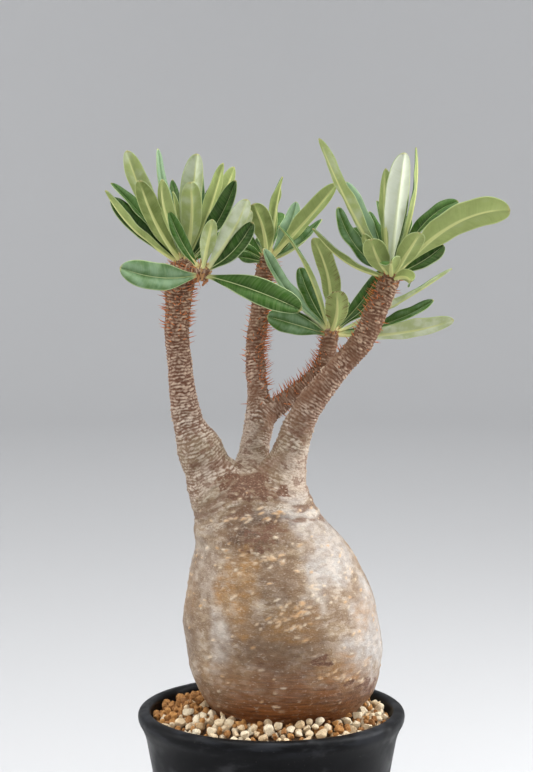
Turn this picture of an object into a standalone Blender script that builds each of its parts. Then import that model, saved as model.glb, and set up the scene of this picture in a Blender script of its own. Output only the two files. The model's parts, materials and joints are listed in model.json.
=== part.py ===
"""A potted pachypodium: a swollen caudex with three limbs, one of them forked, a rosette of leaves
on each of the four tips, soil dressed with gravel, and a black plastic pot.

Lengths are in millimetres and MM turns them into metres. The origin is the middle of the pot's
underside. +X is to the right of the plant's front, +Y runs to its back, and +Z is up.
"""

import math
import random
from typing import NamedTuple

import bmesh
import bpy
import numpy as np
from mathutils import Matrix, Vector

MM = 0.001
GAP = 0.35  # clearance between two solids that touch

# Pot
POT_HEIGHT = 92.0
POT_STEPS = 36
POT_WALL = 2.0
POT_FLOOR = 4.6
FOOT_INNER_RADIUS = 29.5
FOOT_RECESS = 2.0
FOOT_SLOPE = 1.0
BOSS_RADIUS = 9.0
FLOOR_CORNER = 2.0  # width and height of the slope between the floor and the wall inside
DRAIN_HOLES = 6
DRAIN_SIDES = 8
DRAIN_RADIUS = 3.2
DRAIN_CIRCLE = 19.0
POT_OUTSIDE = (  # radius and height, from the rim down to the foot
    (50.3, 92.0), (51.7, 91.6), (52.4, 90.6), (52.5, 89.2), (52.1, 87.2), (50.9, 85.0),
    (49.3, 80.5), (47.1, 68.5), (36.6, 1.4), (35.0, 0.0),
)
WALL_TOP = 68.5  # the wall inside runs level with the outside up to here
POT_LIP_INSIDE = ((47.4, 81.0), (47.4, 90.0), (47.9, 91.4), (49.0, 92.0))

# Soil and gravel
SOIL_AT_WALL = POT_HEIGHT - 4.6
SOIL_AT_CAUDEX = POT_HEIGHT + 0.2
SOIL_CREST_RADIUS = 34.0
SOIL_RADIUS = POT_LIP_INSIDE[0][0] - GAP
SOIL_INSET = 0.1  # keeps the soil's side off the face that trims the gravel
GRAVEL_SEED = 7
GRAIN_RADIUS = (3.2, 3.8)
GRAIN_CIRCLES = (26.0, 32.2, 38.2, 43.9)
GRAIN_SPACING = 7.4
GRAIN_UNEVEN = (0.78, 1.12)  # each corner's share of the radius
GRAIN_FLAT = 0.8
GRAIN_CLEARANCE = 1.5  # from the caudex to the middle of a grain
GRAIN_SHIFT_ROUND = 0.2  # as a share of the spacing
GRAIN_SHIFT_OUT = 0.7
GRAIN_RISE = (-0.3, 0.5)

# Caudex: height, middle in x, half width, and depth as a share of the width
CAUDEX_ROWS = (
    (64.0, 5.4, 0.0, 1.00), (67.0, 5.4, 6.2, 1.00), (73.0, 5.4, 12.0, 1.00), (80.0, 5.3, 18.5, 0.98),
    (88.0, 5.3, 25.6, 0.96), (93.6, 5.3, 29.7, 0.96),
    (99.2, 5.5, 33.7, 0.96), (107.3, 5.5, 36.9, 0.96), (115.3, 5.4, 38.3, 0.95),
    (123.3, 4.7, 38.5, 0.95), (131.3, 3.9, 37.8, 0.95), (140.0, 2.7, 35.9, 0.94),
    (148.6, 1.1, 33.2, 0.93), (156.5, -0.4, 30.0, 0.91), (162.8, -2.6, 27.4, 0.89),
    (167.4, -4.0, 24.9, 0.87), (172.2, -6.0, 23.3, 0.85), (178.0, -8.2, 21.6, 0.82),
    (183.6, -9.2, 18.0, 0.78), (187.4, -9.2, 11.0, 0.76), (188.6, -9.2, 0.0, 0.76),
)
CAUDEX_SEGMENTS = 24
CAUDEX_LUMPS = (  # height, number round the caudex, turn for each millimetre up, start
    (0.40, 3, 0.09, 0.0), (0.24, 5, -0.17, 1.3), (0.20, 1, 0.33, 0.0),
)
LUMPS_FULL = 20.0  # the half width from which the lumps are at their full height

# Limbs: x, y, z and radius along the middle of each
LIMBS = {
    "left": (
        (-13.0, -1.0, 168.0, 13.5), (-20.0, -2.2, 179.0, 11.6), (-25.6, -3.2, 189.0, 8.6),
        (-29.8, -4.0, 198.4, 6.7), (-32.6, -4.3, 207.5, 5.8), (-34.2, -4.5, 217.0, 5.1),
        (-35.3, -4.8, 227.5, 4.8), (-36.4, -5.0, 238.5, 4.7), (-36.0, -5.1, 248.5, 4.8),
        (-35.0, -5.4, 260.5, 5.5),
    ),
    "centre": (
        (-8.6, 3.5, 178.0, 9.0), (-7.4, 6.4, 188.0, 6.6), (-6.0, 8.0, 197.5, 5.7),
        (-4.6, 9.6, 206.0, 5.7), (-5.2, 12.2, 214.0, 4.2), (-6.1, 14.6, 223.0, 3.9),
        (-6.5, 16.6, 232.0, 3.7), (-5.3, 18.4, 241.0, 3.8), (-4.1, 20.0, 250.0, 3.6),
        (-2.6, 21.6, 262.5, 3.6),
    ),
    "middle": (
        (-3.6, 9.8, 206.0, 4.4), (2.6, 10.6, 210.2, 3.8), (8.2, 11.2, 214.4, 3.6),
        (13.8, 11.8, 218.8, 3.5), (18.8, 12.0, 224.0, 3.4), (21.6, 12.0, 229.8, 3.3),
        (22.8, 12.0, 235.6, 3.3),
    ),
    "right": (
        (0.4, -2.6, 176.0, 13.0), (5.0, -3.6, 187.0, 8.6), (7.8, -4.6, 196.0, 6.6),
        (10.8, -5.4, 205.0, 6.0), (14.8, -6.0, 212.8, 5.3), (21.0, -6.4, 221.0, 4.8),
        (28.0, -7.0, 229.4, 4.6), (34.2, -7.4, 236.8, 4.4), (39.0, -7.8, 246.0, 4.3),
        (44.2, -8.0, 258.4, 3.9),
    ),
}
KNOB = (-27.2, -3.8, 195.2, 7.4)  # the old scar that swells from the left limb
LIMB_SIDES = 10
RIDGE_PITCH = 5.6
RIDGE_HEIGHT = 0.3
RIDGES_FROM = 190.0  # below this height the limbs run smoothly into the caudex
RIDGES_FADE = 12.0

# Spines: how many on each limb, and the height that they start from
SPINES = {"left": (18, 228.0), "centre": (24, 212.0), "middle": (20, 211.0), "right": (20, 214.0)}
SPINE_LENGTH = (2.6, 4.4)
SPINE_RADIUS = 0.36
SPINE_ROOT = 0.9
SPINE_FREE_TIP = 6  # millimetres of each limb's end, which the leaves hang over
SPINE_LEAN = (0.0, 0.5)  # towards the limb's tip
GOLDEN_ANGLE = math.radians(137.508)

# Leaves
BLADE_THICKNESS = 0.7
BLADE_STATIONS = (0.0, 0.22, 0.44, 0.68, 0.88, 1.0)
BLADE_OUTLINE = (  # share of the length, share of the greatest width
    (0.0, 0.18), (0.10, 0.24), (0.22, 0.42), (0.44, 0.84), (0.58, 0.98), (0.68, 1.0),
    (0.80, 0.93), (0.88, 0.80), (0.95, 0.55), (1.0, 0.20),
)
BASE_FOLD = math.radians(38.0)
RIPPLES = 2.2  # waves along a blade
LEAF_ROOT_OUT = 1.3
LEAF_ROOT_RISE = 2.6
LEVEL_STEEPNESS = 0.6  # a leaf this steep springs from the growth point's own height
FRONT = Vector((0.0, -1.0, 0.0))


class Leaf(NamedTuple):
    """One leaf. reach is its tip, measured from its growth point, and bow is how far its middle
    lies off the straight line between the two. turn is how far the blade is turned about its
    length: 0 shows its upper side to the front, 90 its edge and 180 its underside, always with the
    upper side to the head's middle. twist adds to the turn towards the tip. fold closes the blade
    along its rib, and wave ripples its edges."""

    reach: tuple
    width: float
    turn: float
    bow: tuple = (0.0, 0.0, 0.0)
    twist: float = 0.0
    fold: float = 15.0
    wave: float = 0.0


class Head(NamedTuple):
    """A growth point: the middle that its leaves spring from, its axis, and the leaves."""

    middle: tuple
    axis: tuple
    leaves: tuple


HEADS = {
    "left": Head(
        middle=(-33.5, -5.0, 266.7),
        axis=(-0.10, 0.0, 1.0),
        leaves=(
            Leaf((-21.0, -9.0, 43.0), 8.0, 148, bow=(-2.5, 1.5, 0.5)),
            Leaf((-15.5, -16.0, 32.5), 8.5, 160, bow=(-2.0, 1.5, -1.0)),
            Leaf((-10.5, 9.0, 44.0), 6.5, 58, bow=(-1.5, -1.0, 0.5), wave=0.4),
            Leaf((-28.0, 10.0, 31.5), 7.5, 58, bow=(-0.5, -1.0, 0.5)),
            Leaf((-28.5, -3.0, 28.5), 7.5, 108, bow=(-4.5, 0.0, -0.5)),
            Leaf((-27.5, 3.0, 25.5), 8.5, 38, bow=(-2.0, 0.0, -0.5)),
            Leaf((19.5, -2.0, 32.0), 8.0, 38, bow=(2.5, 0.0, -0.5), fold=24.0),
            Leaf((19.5, 9.0, 37.0), 7.5, 142, bow=(1.5, 0.0, 0.5)),
            Leaf((14.5, 3.0, 38.5), 7.0, 132, bow=(1.5, 0.0, 0.0)),
            Leaf((7.0, 12.0, 35.0), 5.5, 48, bow=(1.5, 0.0, 0.5)),
            Leaf((9.5, 9.0, 28.0), 5.5, 48, bow=(2.0, 0.0, 0.5)),
            Leaf((5.0, -7.0, 42.0), 8.0, 150, bow=(0.0, 1.5, 0.5)),
            Leaf((3.0, -17.0, 31.5), 8.2, 172, bow=(1.5, 1.5, 0.5)),
            Leaf((-5.5, 18.0, 31.5), 5.5, 30, bow=(0.0, -1.5, 1.0)),
            Leaf((-4.5, 10.0, 27.5), 5.0, 120),
            Leaf((-20.0, 24.0, 22.0), 8.4, 18, bow=(0.0, 0.0, 2.5)),
            Leaf((14.0, 25.0, 24.0), 8.6, 18, bow=(0.0, 0.0, 2.5)),
            Leaf((-2.0, 32.0, 12.0), 9.0, 10, bow=(0.0, 0.0, 3.5)),
            Leaf((24.0, 20.0, 10.0), 8.2, 22, bow=(0.0, 0.0, 3.0)),
        ),
    ),
    "left_front": Head(
        middle=(-26.0, -14.0, 264.5),
        axis=(0.25, -0.25, 0.93),
        leaves=(
            Leaf((-30.0, -15.0, 2.0), 11.0, 18, bow=(0.0, 0.0, -2.5)),
            Leaf((37.0, -17.0, -14.0), 10.6, 24, bow=(0.5, 0.0, 1.0)),
            Leaf((-15.0, -5.0, 34.5), 7.5, 150, bow=(-4.5, 0.0, 0.5), fold=25.0),
            Leaf((18.5, -8.0, 18.5), 7.6, 32, bow=(1.5, 0.0, -2.0)),
            Leaf((4.0, -15.0, 20.0), 6.2, 172, bow=(0.0, 1.0, 0.0)),
            Leaf((17.0, -11.0, 26.5), 8.6, 150, bow=(1.0, 1.0, -0.5)),
            Leaf((18.0, -4.0, 23.0), 7.8, 150, bow=(1.5, 0.0, 0.0)),
            Leaf((-12.5, -4.0, 22.5), 6.0, 30, bow=(-1.0, 0.0, -1.0)),
        ),
    ),
    "centre": Head(
        middle=(-1.6, 22.0, 267.5),
        axis=(0.05, 0.05, 1.0),
        leaves=(
            Leaf((-5.5, -14.0, 21.5), 9.0, 170, bow=(1.5, 1.0, 0.5)),
            Leaf((5.5, -6.0, 32.5), 6.5, 150, bow=(0.0, 0.0, 1.5), twist=-60.0, wave=0.5),
            Leaf((12.0, 8.0, 22.0), 6.5, 28, bow=(1.5, 0.0, 0.0), wave=0.9),
            Leaf((27.0, -8.0, 29.0), 8.2, 145, bow=(0.5, 0.0, 0.0)),
            Leaf((21.0, 3.0, 16.0), 6.0, 58, bow=(2.0, 0.0, -2.0), fold=30.0),
            Leaf((9.0, 9.0, 9.0), 5.0, 40, bow=(1.0, 0.0, 0.5)),
            Leaf((-10.0, -1.0, 4.0), 5.5, 30, bow=(-1.0, 0.0, 1.0)),
            Leaf((-12.0, -6.0, 1.0), 5.5, 38, bow=(-1.5, 0.0, 0.5)),
            Leaf((-7.0, 16.0, 21.0), 7.4, 20, bow=(0.0, 0.0, 2.0)),
            Leaf((4.5, 21.0, 18.0), 7.6, 15, bow=(0.0, 0.0, 2.5)),
            Leaf((18.0, 19.0, 11.0), 7.4, 20, bow=(0.0, 0.0, 2.5)),
            Leaf((-18.0, 15.0, 10.0), 7.6, 22, bow=(0.0, 0.0, 2.5)),
            Leaf((-2.0, 26.0, 4.0), 8.0, 10, bow=(0.0, 0.0, 3.5)),
        ),
    ),
    "middle": Head(
        middle=(23.6, 12.0, 239.4),
        axis=(0.20, 0.0, 0.98),
        leaves=(
            Leaf((-25.5, -8.0, 6.5), 9.0, 15, bow=(-1.0, 0.0, 0.5), wave=0.9),
            Leaf((-20.5, 0.0, 9.5), 6.0, 62, bow=(-0.5, 0.0, 0.5)),
            Leaf((-28.0, -8.0, 32.5), 8.0, 52, bow=(-2.0, 0.0, -1.5), fold=28.0),
            Leaf((-13.0, 6.0, 24.5), 8.0, 30, bow=(-1.0, 0.0, 0.0), wave=0.8),
            Leaf((-20.0, 1.0, 42.0), 5.5, 104, bow=(1.5, 0.0, 2.0), twist=-20.0),
            Leaf((1.5, -16.0, 16.0), 9.6, 176, bow=(1.0, 1.0, -1.0)),
            Leaf((-7.5, -10.0, 37.0), 9.0, 152, bow=(3.0, 0.0, 1.0), wave=0.6),
            Leaf((20.5, 11.0, 23.5), 6.5, 30, bow=(0.5, 0.0, -1.5)),
            Leaf((47.0, 4.0, 25.0), 5.5, 116, bow=(1.5, 0.0, -1.5)),
            Leaf((40.0, 2.0, 12.5), 7.0, 55, bow=(2.5, 0.0, -2.5)),
            Leaf((47.5, -4.0, 5.0), 9.0, 148, bow=(1.5, 2.0, -2.5), wave=0.7),
            Leaf((24.0, 4.0, 4.0), 6.0, 140, bow=(0.0, 0.0, -1.5)),
            Leaf((-12.0, 22.0, 12.0), 7.6, 20, bow=(0.0, 0.0, 2.5)),
            Leaf((8.0, 26.0, 7.0), 7.8, 12, bow=(0.0, 0.0, 3.0)),
            Leaf((26.0, 18.0, 13.0), 7.4, 22, bow=(0.0, 0.0, 2.5)),
        ),
    ),
    "right": Head(
        middle=(46.0, -8.0, 262.6),
        axis=(0.22, -0.05, 0.97),
        leaves=(
            Leaf((-29.5, -6.0, 18.5), 8.0, 102, bow=(-2.5, 0.0, -3.5)),
            Leaf((-21.0, 8.0, 25.5), 8.0, 44, bow=(-2.5, 0.0, -2.5), wave=0.9),
            Leaf((-27.5, -12.0, 52.0), 7.6, 122, bow=(-2.5, 0.0, 0.5)),
            Leaf((-17.5, 6.0, 35.5), 8.0, 50, bow=(-1.5, 0.0, 1.0), fold=24.0),
            Leaf((-8.0, 14.0, 24.0), 5.5, 30, wave=0.8),
            Leaf((-4.5, 9.0, 28.5), 6.5, 50),
            Leaf((-3.0, -5.0, 40.5), 6.6, 150, bow=(-1.0, 0.0, 0.0), fold=24.0),
            Leaf((3.5, -8.0, 46.5), 8.6, 146, bow=(0.0, 1.0, 1.0)),
            Leaf((9.0, 1.0, 48.5), 5.5, 96, bow=(3.5, 0.0, 1.0)),
            Leaf((7.0, 12.0, 22.5), 6.0, 30, bow=(0.5, 0.0, 0.5), wave=0.9),
            Leaf((6.5, 8.0, 37.0), 5.0, 62, bow=(1.5, 0.0, 1.0)),
            Leaf((25.5, 5.0, 28.0), 8.0, 55, bow=(-1.5, 0.0, 4.5)),
            Leaf((42.5, -22.0, 25.5), 10.8, 156, bow=(0.0, 2.0, 6.5)),
            Leaf((9.0, -20.0, 16.5), 8.0, 170, bow=(0.5, 1.0, 0.5)),
            Leaf((6.5, -18.0, -2.0), 6.6, 160, bow=(1.0, 0.0, 1.5)),
            Leaf((-9.0, -19.0, 13.5), 9.4, 165, bow=(-0.5, 1.0, -1.0)),
            Leaf((-11.5, -10.0, 15.5), 5.5, 150, bow=(-1.0, 0.0, 0.5)),
            Leaf((-2.0, -23.0, 6.0), 8.6, 176, bow=(0.0, 0.0, 1.5)),
            Leaf((20.0, 4.0, 11.0), 8.4, 40, bow=(1.0, 0.0, -0.5)),
            Leaf((-15.0, 20.0, 16.0), 7.6, 20, bow=(0.0, 0.0, 2.5)),
            Leaf((3.0, 26.0, 18.0), 8.0, 12, bow=(0.0, 0.0, 2.5)),
            Leaf((20.0, 22.0, 13.0), 7.8, 20, bow=(0.0, 0.0, 2.5)),
            Leaf((-4.0, 27.0, 4.0), 8.0, 10, bow=(0.0, 0.0, 3.5)),
        ),
    ),
}
# The growth points of each rosette. The first sits on the limb of the rosette's own name.
ROSETTES = {
    "left": ("left", "left_front"), "centre": ("centre",), "middle": ("middle",),
    "right": ("right",),
}
CORE_SIDES = 6
CORE_SHARES = (0.95, 0.80, 0.40)  # of the limb's radius: at its end, the growth point and the top
CORE_RISE = 3.0  # from a growth point to the top of its core
BRANCH_RADII = (3.0, 3.4, 2.8, 1.5)
BRANCH_ROOT = 1.5
SHARP_ANGLE = math.radians(40.0)

# Colour, roughness
MATERIALS = {
    "pot_plastic": ((0.030, 0.032, 0.036), 0.42),
    "gravel": ((0.60, 0.42, 0.22), 0.90),
    "bark": ((0.42, 0.35, 0.30), 0.80),
    "leaf": ((0.16, 0.29, 0.08), 0.45),
}


def clear_scene():
    """Removes what the file starts with."""
    for thing in list(bpy.data.objects):
        bpy.data.objects.remove(thing)


def make_material(name):
    """A Principled material from the table above."""
    colour, roughness = MATERIALS[name]
    material = bpy.data.materials.new(name)
    material.use_nodes = True
    shader = material.node_tree.nodes["Principled BSDF"]
    shader.inputs["Base Color"].default_value = (*colour, 1.0)
    shader.inputs["Roughness"].default_value = roughness
    return material


def new_collection(name):
    """A collection linked to the scene."""
    made = bpy.data.collections.new(name)
    bpy.context.scene.collection.children.link(made)
    return made


def add_mesh(name, shape, collection):
    """An object made from a bmesh, linked to a collection."""
    mesh = bpy.data.meshes.new(name)
    shape.to_mesh(mesh)
    shape.free()
    made = bpy.data.objects.new(name, mesh)
    collection.objects.link(made)
    return made


def applied(thing):
    """The object with its modifiers applied to its mesh."""
    bpy.context.view_layer.update()
    graph = bpy.context.evaluated_depsgraph_get()
    mesh = bpy.data.meshes.new_from_object(thing.evaluated_get(graph))
    thing.modifiers.clear()
    thing.data = mesh
    return thing


def cut_or_join(thing, operation, pieces):
    """Applies one Boolean with a whole collection, and then removes the collection's objects."""
    modifier = thing.modifiers.new("Boolean", "BOOLEAN")
    modifier.operation = operation
    modifier.operand_type = "COLLECTION"
    modifier.collection = pieces
    modifier.solver = "EXACT"
    applied(thing)
    for piece in list(pieces.objects):
        bpy.data.objects.remove(piece)
    bpy.data.collections.remove(pieces)


def smooth_rows(rows, positions):
    """Catmull-Rom interpolation of equally weighted rows, at positions from 0 to 1."""
    rows = np.array(rows, float)
    padded = np.vstack([2 * rows[0] - rows[1], rows, 2 * rows[-1] - rows[-2]])
    at = np.clip(np.asarray(positions, float), 0.0, 1.0) * (len(rows) - 1)
    index = np.minimum(at.astype(int), len(rows) - 2)
    t = (at - index)[:, None]
    a, b, c, d = (padded[index + k] for k in range(4))
    return 0.5 * (2 * b + (c - a) * t + (2 * a - 5 * b + 4 * c - d) * t**2
                  + (3 * b - a - 3 * c + d) * t**3)


def even_path(rows, step):
    """The rows as a smooth path of x, y, z and radius, with points an even step apart."""
    dense = smooth_rows(rows, np.linspace(0.0, 1.0, 40 * len(rows)))
    travelled = np.concatenate(
        [[0.0], np.cumsum(np.linalg.norm(np.diff(dense[:, :3], axis=0), axis=1))]
    )
    count = max(3, round(travelled[-1] / step) + 1)
    at = np.linspace(0.0, travelled[-1], count)
    return np.column_stack([np.interp(at, travelled, dense[:, k]) for k in range(4)])


def tube(name, path, collection, sides=LIMB_SIDES):
    """A closed tube along a path of x, y, z and radius."""
    data = bpy.data.curves.new(name, "CURVE")
    data.dimensions = "3D"
    data.bevel_depth = MM
    data.bevel_resolution = sides // 2 - 2
    data.use_fill_caps = True
    spline = data.splines.new("POLY")
    spline.points.add(len(path) - 1)
    for point, (x, y, z, radius) in zip(spline.points, path):
        point.co = (x * MM, y * MM, z * MM, 1.0)
        point.radius = radius
    curve = bpy.data.objects.new(name + "_line", data)
    collection.objects.link(curve)
    bpy.context.view_layer.update()
    mesh = bpy.data.meshes.new_from_object(
        curve.evaluated_get(bpy.context.evaluated_depsgraph_get())
    )
    shape = bmesh.new()
    shape.from_mesh(mesh)
    bmesh.ops.remove_doubles(shape, verts=shape.verts, dist=0.00001)
    bmesh.ops.recalc_face_normals(shape, faces=shape.faces)
    bpy.data.objects.remove(curve)
    return add_mesh(name, shape, collection)


def turned(name, profile, steps, collection):
    """A solid turned about the Z axis from a profile of radius and height."""
    shape = bmesh.new()
    corners = [shape.verts.new((r * MM, 0.0, z * MM)) for r, z in profile]
    for first, second in zip(corners, corners[1:]):
        shape.edges.new((first, second))
    made = add_mesh(name, shape, collection)
    screw = made.modifiers.new("Screw", "SCREW")
    screw.steps = steps
    screw.render_steps = steps
    screw.use_merge_vertices = True
    screw.merge_threshold = 0.00001
    screw.use_smooth_shade = True
    return applied(made)


def pot_outer_radius(height):
    """The radius of the pot's outside at a height below its lip."""
    radii, heights = zip(*reversed(POT_OUTSIDE))
    return float(np.interp(height, heights, radii))


def pot_inner_wall(clearance=0.0):
    """The pot's inside below the lip, from the floor up, as radius and height."""
    heights = (POT_FLOOR + FLOOR_CORNER, WALL_TOP)
    wall = [(pot_outer_radius(z) - POT_WALL - clearance, z) for z in heights]
    floor = (wall[0][0] - FLOOR_CORNER, POT_FLOOR + clearance)
    return [floor, *wall]


def make_pot(collection):
    """The pot: a tapered cup with a thick rounded lip, a foot ring and drain holes."""
    underside = [
        (FOOT_INNER_RADIUS, 0.0), (FOOT_INNER_RADIUS - FOOT_SLOPE, FOOT_RECESS),
        (BOSS_RADIUS + FOOT_SLOPE, FOOT_RECESS), (BOSS_RADIUS, 0.0), (0.0, 0.0),
    ]
    inside = [(0.0, POT_FLOOR), *pot_inner_wall(), *POT_LIP_INSIDE]
    pot = turned("pot", [*inside, *POT_OUTSIDE, *underside], POT_STEPS, collection)
    cutters = new_collection("drain_cutters")
    for hole in range(DRAIN_HOLES):
        angle = math.tau * hole / DRAIN_HOLES
        shape = bmesh.new()
        bmesh.ops.create_cone(
            shape, cap_ends=True, segments=DRAIN_SIDES, radius1=DRAIN_RADIUS * MM,
            radius2=DRAIN_RADIUS * MM, depth=4 * POT_FLOOR * MM,
        )
        cutter = add_mesh(f"drain_cutter_{hole}", shape, cutters)
        cutter.location = Vector((math.cos(angle), math.sin(angle), 0.0)) * DRAIN_CIRCLE * MM
        cutter.hide_render = True
        cutter.display_type = "WIRE"
    cut_or_join(pot, "DIFFERENCE", cutters)
    return pot


def caudex_row(height):
    """The middle in x, the half width and the half depth of the caudex at a height."""
    heights, middles, widths, depths = zip(*CAUDEX_ROWS)
    width = float(np.interp(height, heights, widths))
    return float(np.interp(height, heights, middles)), width, width * float(
        np.interp(height, heights, depths)
    )


def caudex_lump(angle, height):
    """The low lumps of the caudex, as a change of its radius."""
    return sum(
        size * math.sin(number * angle + turn * height + start)
        for size, number, turn, start in CAUDEX_LUMPS
    )


def caudex_body(name, collection, clearance=0.0):
    """The caudex and its root, without limbs. A clearance swells it for cutting its socket."""
    shape = bmesh.new()
    rings = len(CAUDEX_ROWS) - 1
    bmesh.ops.create_uvsphere(shape, u_segments=CAUDEX_SEGMENTS, v_segments=rings, radius=1.0)
    for vertex in shape.verts:
        angle = math.atan2(vertex.co.y, vertex.co.x)
        ring = round((math.asin(max(-1.0, min(1.0, vertex.co.z))) / math.pi + 0.5) * rings)
        height, middle, width, depth_share = CAUDEX_ROWS[ring]
        depth = width * depth_share
        swell = caudex_lump(angle, height) * min(1.0, width / LUMPS_FULL) + clearance
        if ring in (0, rings):
            swell = 0.0
            height += clearance if ring else -clearance
        vertex.co = Vector((
            middle + (width + swell) * math.cos(angle),
            (depth + swell) * math.sin(angle),
            height,
        )) * MM
    return add_mesh(name, shape, collection)


def limb_path(name):
    """A limb's path with ring ridges on it, which fade out towards the caudex."""
    path = even_path(LIMBS[name], RIDGE_PITCH / 2)
    ridged = np.clip((path[:, 2] - RIDGES_FROM) / RIDGES_FADE, 0.0, 1.0)
    path[:, 3] += RIDGE_HEIGHT * ridged * np.where(np.arange(len(path)) % 2, 1.0, -1.0)
    return path


def make_spines(name, collection):
    """Three-sided spines round a limb, in a spiral, rooted in it and leaning to its tip."""
    draw = random.Random(name)
    count, start = SPINES[name]
    path = even_path(LIMBS[name], 1.0)
    path = path[path[:, 2] >= start][:-SPINE_FREE_TIP]
    for number in range(count):
        at = (number + 0.5) / count * (len(path) - 2)
        here = path[int(at)]
        along = Vector(path[int(at) + 1][:3] - here[:3]).normalized()
        across = along.cross(Vector((0.0, 1.0, 0.0))).normalized()
        outward = Matrix.Rotation(number * GOLDEN_ANGLE, 3, along) @ across
        length = draw.uniform(*SPINE_LENGTH)
        points = (outward + along * draw.uniform(*SPINE_LEAN)).normalized()
        shape = bmesh.new()
        bmesh.ops.create_cone(
            shape, cap_ends=True, segments=3, radius1=SPINE_RADIUS * MM, radius2=0.0,
            depth=(length + SPINE_ROOT) * MM,
        )
        spine = add_mesh(f"spine_{name}_{number}", shape, collection)
        reach = here[3] + (length - SPINE_ROOT) / 2
        spine.matrix_world = (
            Matrix.Translation((Vector(here[:3]) + points * reach) * MM)
            @ points.to_track_quat("Z", "Y").to_matrix().to_4x4()
        )


def make_plant_body(collection):
    """The caudex, its limbs and their spines, grown as one piece."""
    body = caudex_body("caudex_and_limbs", collection)
    growth = new_collection("growth")
    for name in LIMBS:
        tube("limb_" + name, limb_path(name), growth)
        make_spines(name, growth)
    x, y, z, radius = KNOB
    shape = bmesh.new()
    bmesh.ops.create_icosphere(shape, subdivisions=2, radius=radius * MM)
    add_mesh("knob", shape, growth).location = Vector((x, y, z)) * MM
    cut_or_join(body, "UNION", growth)
    return body


def outline_share(share):
    """A blade's width at a share of its length, as a share of its greatest width."""
    lengths, widths = zip(*BLADE_OUTLINE)
    return float(np.interp(share, lengths, widths))


def rib_line(leaf, head):
    """The three Bezier points of a leaf's rib: its root in the core, its bend and its tip."""
    middle, axis, reach = Vector(head.middle), Vector(head.axis).normalized(), Vector(leaf.reach)
    outward = (reach - axis * reach.dot(axis)).normalized()
    steepness = reach.dot(axis) / reach.length
    rise = LEAF_ROOT_RISE * (steepness - LEVEL_STEEPNESS)
    root = middle + outward * LEAF_ROOT_OUT + axis * rise
    tip = middle + reach
    return root, (root + tip) / 2 + Vector(leaf.bow) * 2, tip


def blade_point(leaf, line, share, across):
    """A point of the blade's middle surface: share of its length, and -1 to 1 across it."""
    root, bend, tip = line
    rib = root * (1 - share) ** 2 + bend * 2 * share * (1 - share) + tip * share**2
    along = ((bend - root) * (1 - share) + (tip - bend) * share).normalized()
    turn = math.radians(leaf.turn + leaf.twist * share**2)
    turn = -turn if leaf.reach[0] > 0 else turn
    facing = (FRONT - along * FRONT.dot(along)).normalized()
    upper = Matrix.Rotation(turn, 3, along) @ facing
    side = upper.cross(along)
    fold = math.radians(leaf.fold) + (BASE_FOLD - math.radians(leaf.fold)) * (1 - share) ** 3
    half = outline_share(share) * leaf.width / 2
    phase = math.tau * RIPPLES * share + across
    ripple = leaf.wave * math.sin(phase) * math.sin(math.pi * share)
    rise = abs(across) * half * math.sin(fold) + across**2 * ripple
    return rib + side * across * half * math.cos(fold) + upper * rise


def make_leaf(name, leaf, head, collection):
    """A leaf: a grid folded along its rib, arched to its tip and thickened."""
    shape = bmesh.new()
    last = len(BLADE_STATIONS) - 1
    bmesh.ops.create_grid(shape, x_segments=last, y_segments=2, size=1.0)
    line = rib_line(leaf, head)
    for vertex in shape.verts:
        station = round((vertex.co.x + 1) / 2 * last)
        vertex.co = blade_point(leaf, line, BLADE_STATIONS[station], vertex.co.y) * MM
    bmesh.ops.triangulate(shape, faces=shape.faces)
    blade = add_mesh(name, shape, collection)
    solidify = blade.modifiers.new("Solidify", "SOLIDIFY")
    solidify.thickness = BLADE_THICKNESS * MM
    solidify.offset = 0.0
    return blade


def tip_core(name):
    """The path of a rosette's core, from just clear of its limb's end to above its leaves."""
    head = HEADS[ROSETTES[name][0]]
    before, end = limb_path(name)[-2:]
    along = Vector(end[:3] - before[:3]).normalized()
    middle, axis = Vector(head.middle), Vector(head.axis).normalized()
    seat = Vector(end[:3]) + along * GAP
    low, level, top = (share * end[3] for share in CORE_SHARES)
    return [
        (*seat, low), (*(seat + along), low), (*middle, level),
        (*(middle + axis * CORE_RISE), top),
    ]


def branch_core(first, other):
    """The path of a second growth point's core, from inside the first one's."""
    root = Vector(first.middle) - Vector(first.axis).normalized() * BRANCH_ROOT
    middle, axis = Vector(other.middle), Vector(other.axis).normalized()
    points = (root, (root + middle) / 2, middle, middle + axis * CORE_RISE)
    return [(*point, radius) for point, radius in zip(points, BRANCH_RADII)]


def make_rosette(name, collection):
    """A rosette: its growth points' leaves, joined to the core that sits on its limb."""
    core = tube("rosette_" + name, tip_core(name), collection, CORE_SIDES)
    pieces = new_collection("leaves_" + name)
    first, *others = ROSETTES[name]
    for other in others:
        tube("branch_" + other, branch_core(HEADS[first], HEADS[other]), pieces, CORE_SIDES)
    for point in ROSETTES[name]:
        for number, leaf in enumerate(HEADS[point].leaves):
            make_leaf(f"leaf_{point}_{number}", leaf, HEADS[point], pieces)
    cut_or_join(core, "UNION", pieces)
    return core


def is_on_gravel(x, y):
    """True where the gravel lies clear of the caudex."""
    middle, width, depth = caudex_row(SOIL_AT_CAUDEX)
    width, depth = width + GRAIN_CLEARANCE, depth + GRAIN_CLEARANCE
    return math.hypot((x - middle) / width, y / depth) > 1.0


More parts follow.
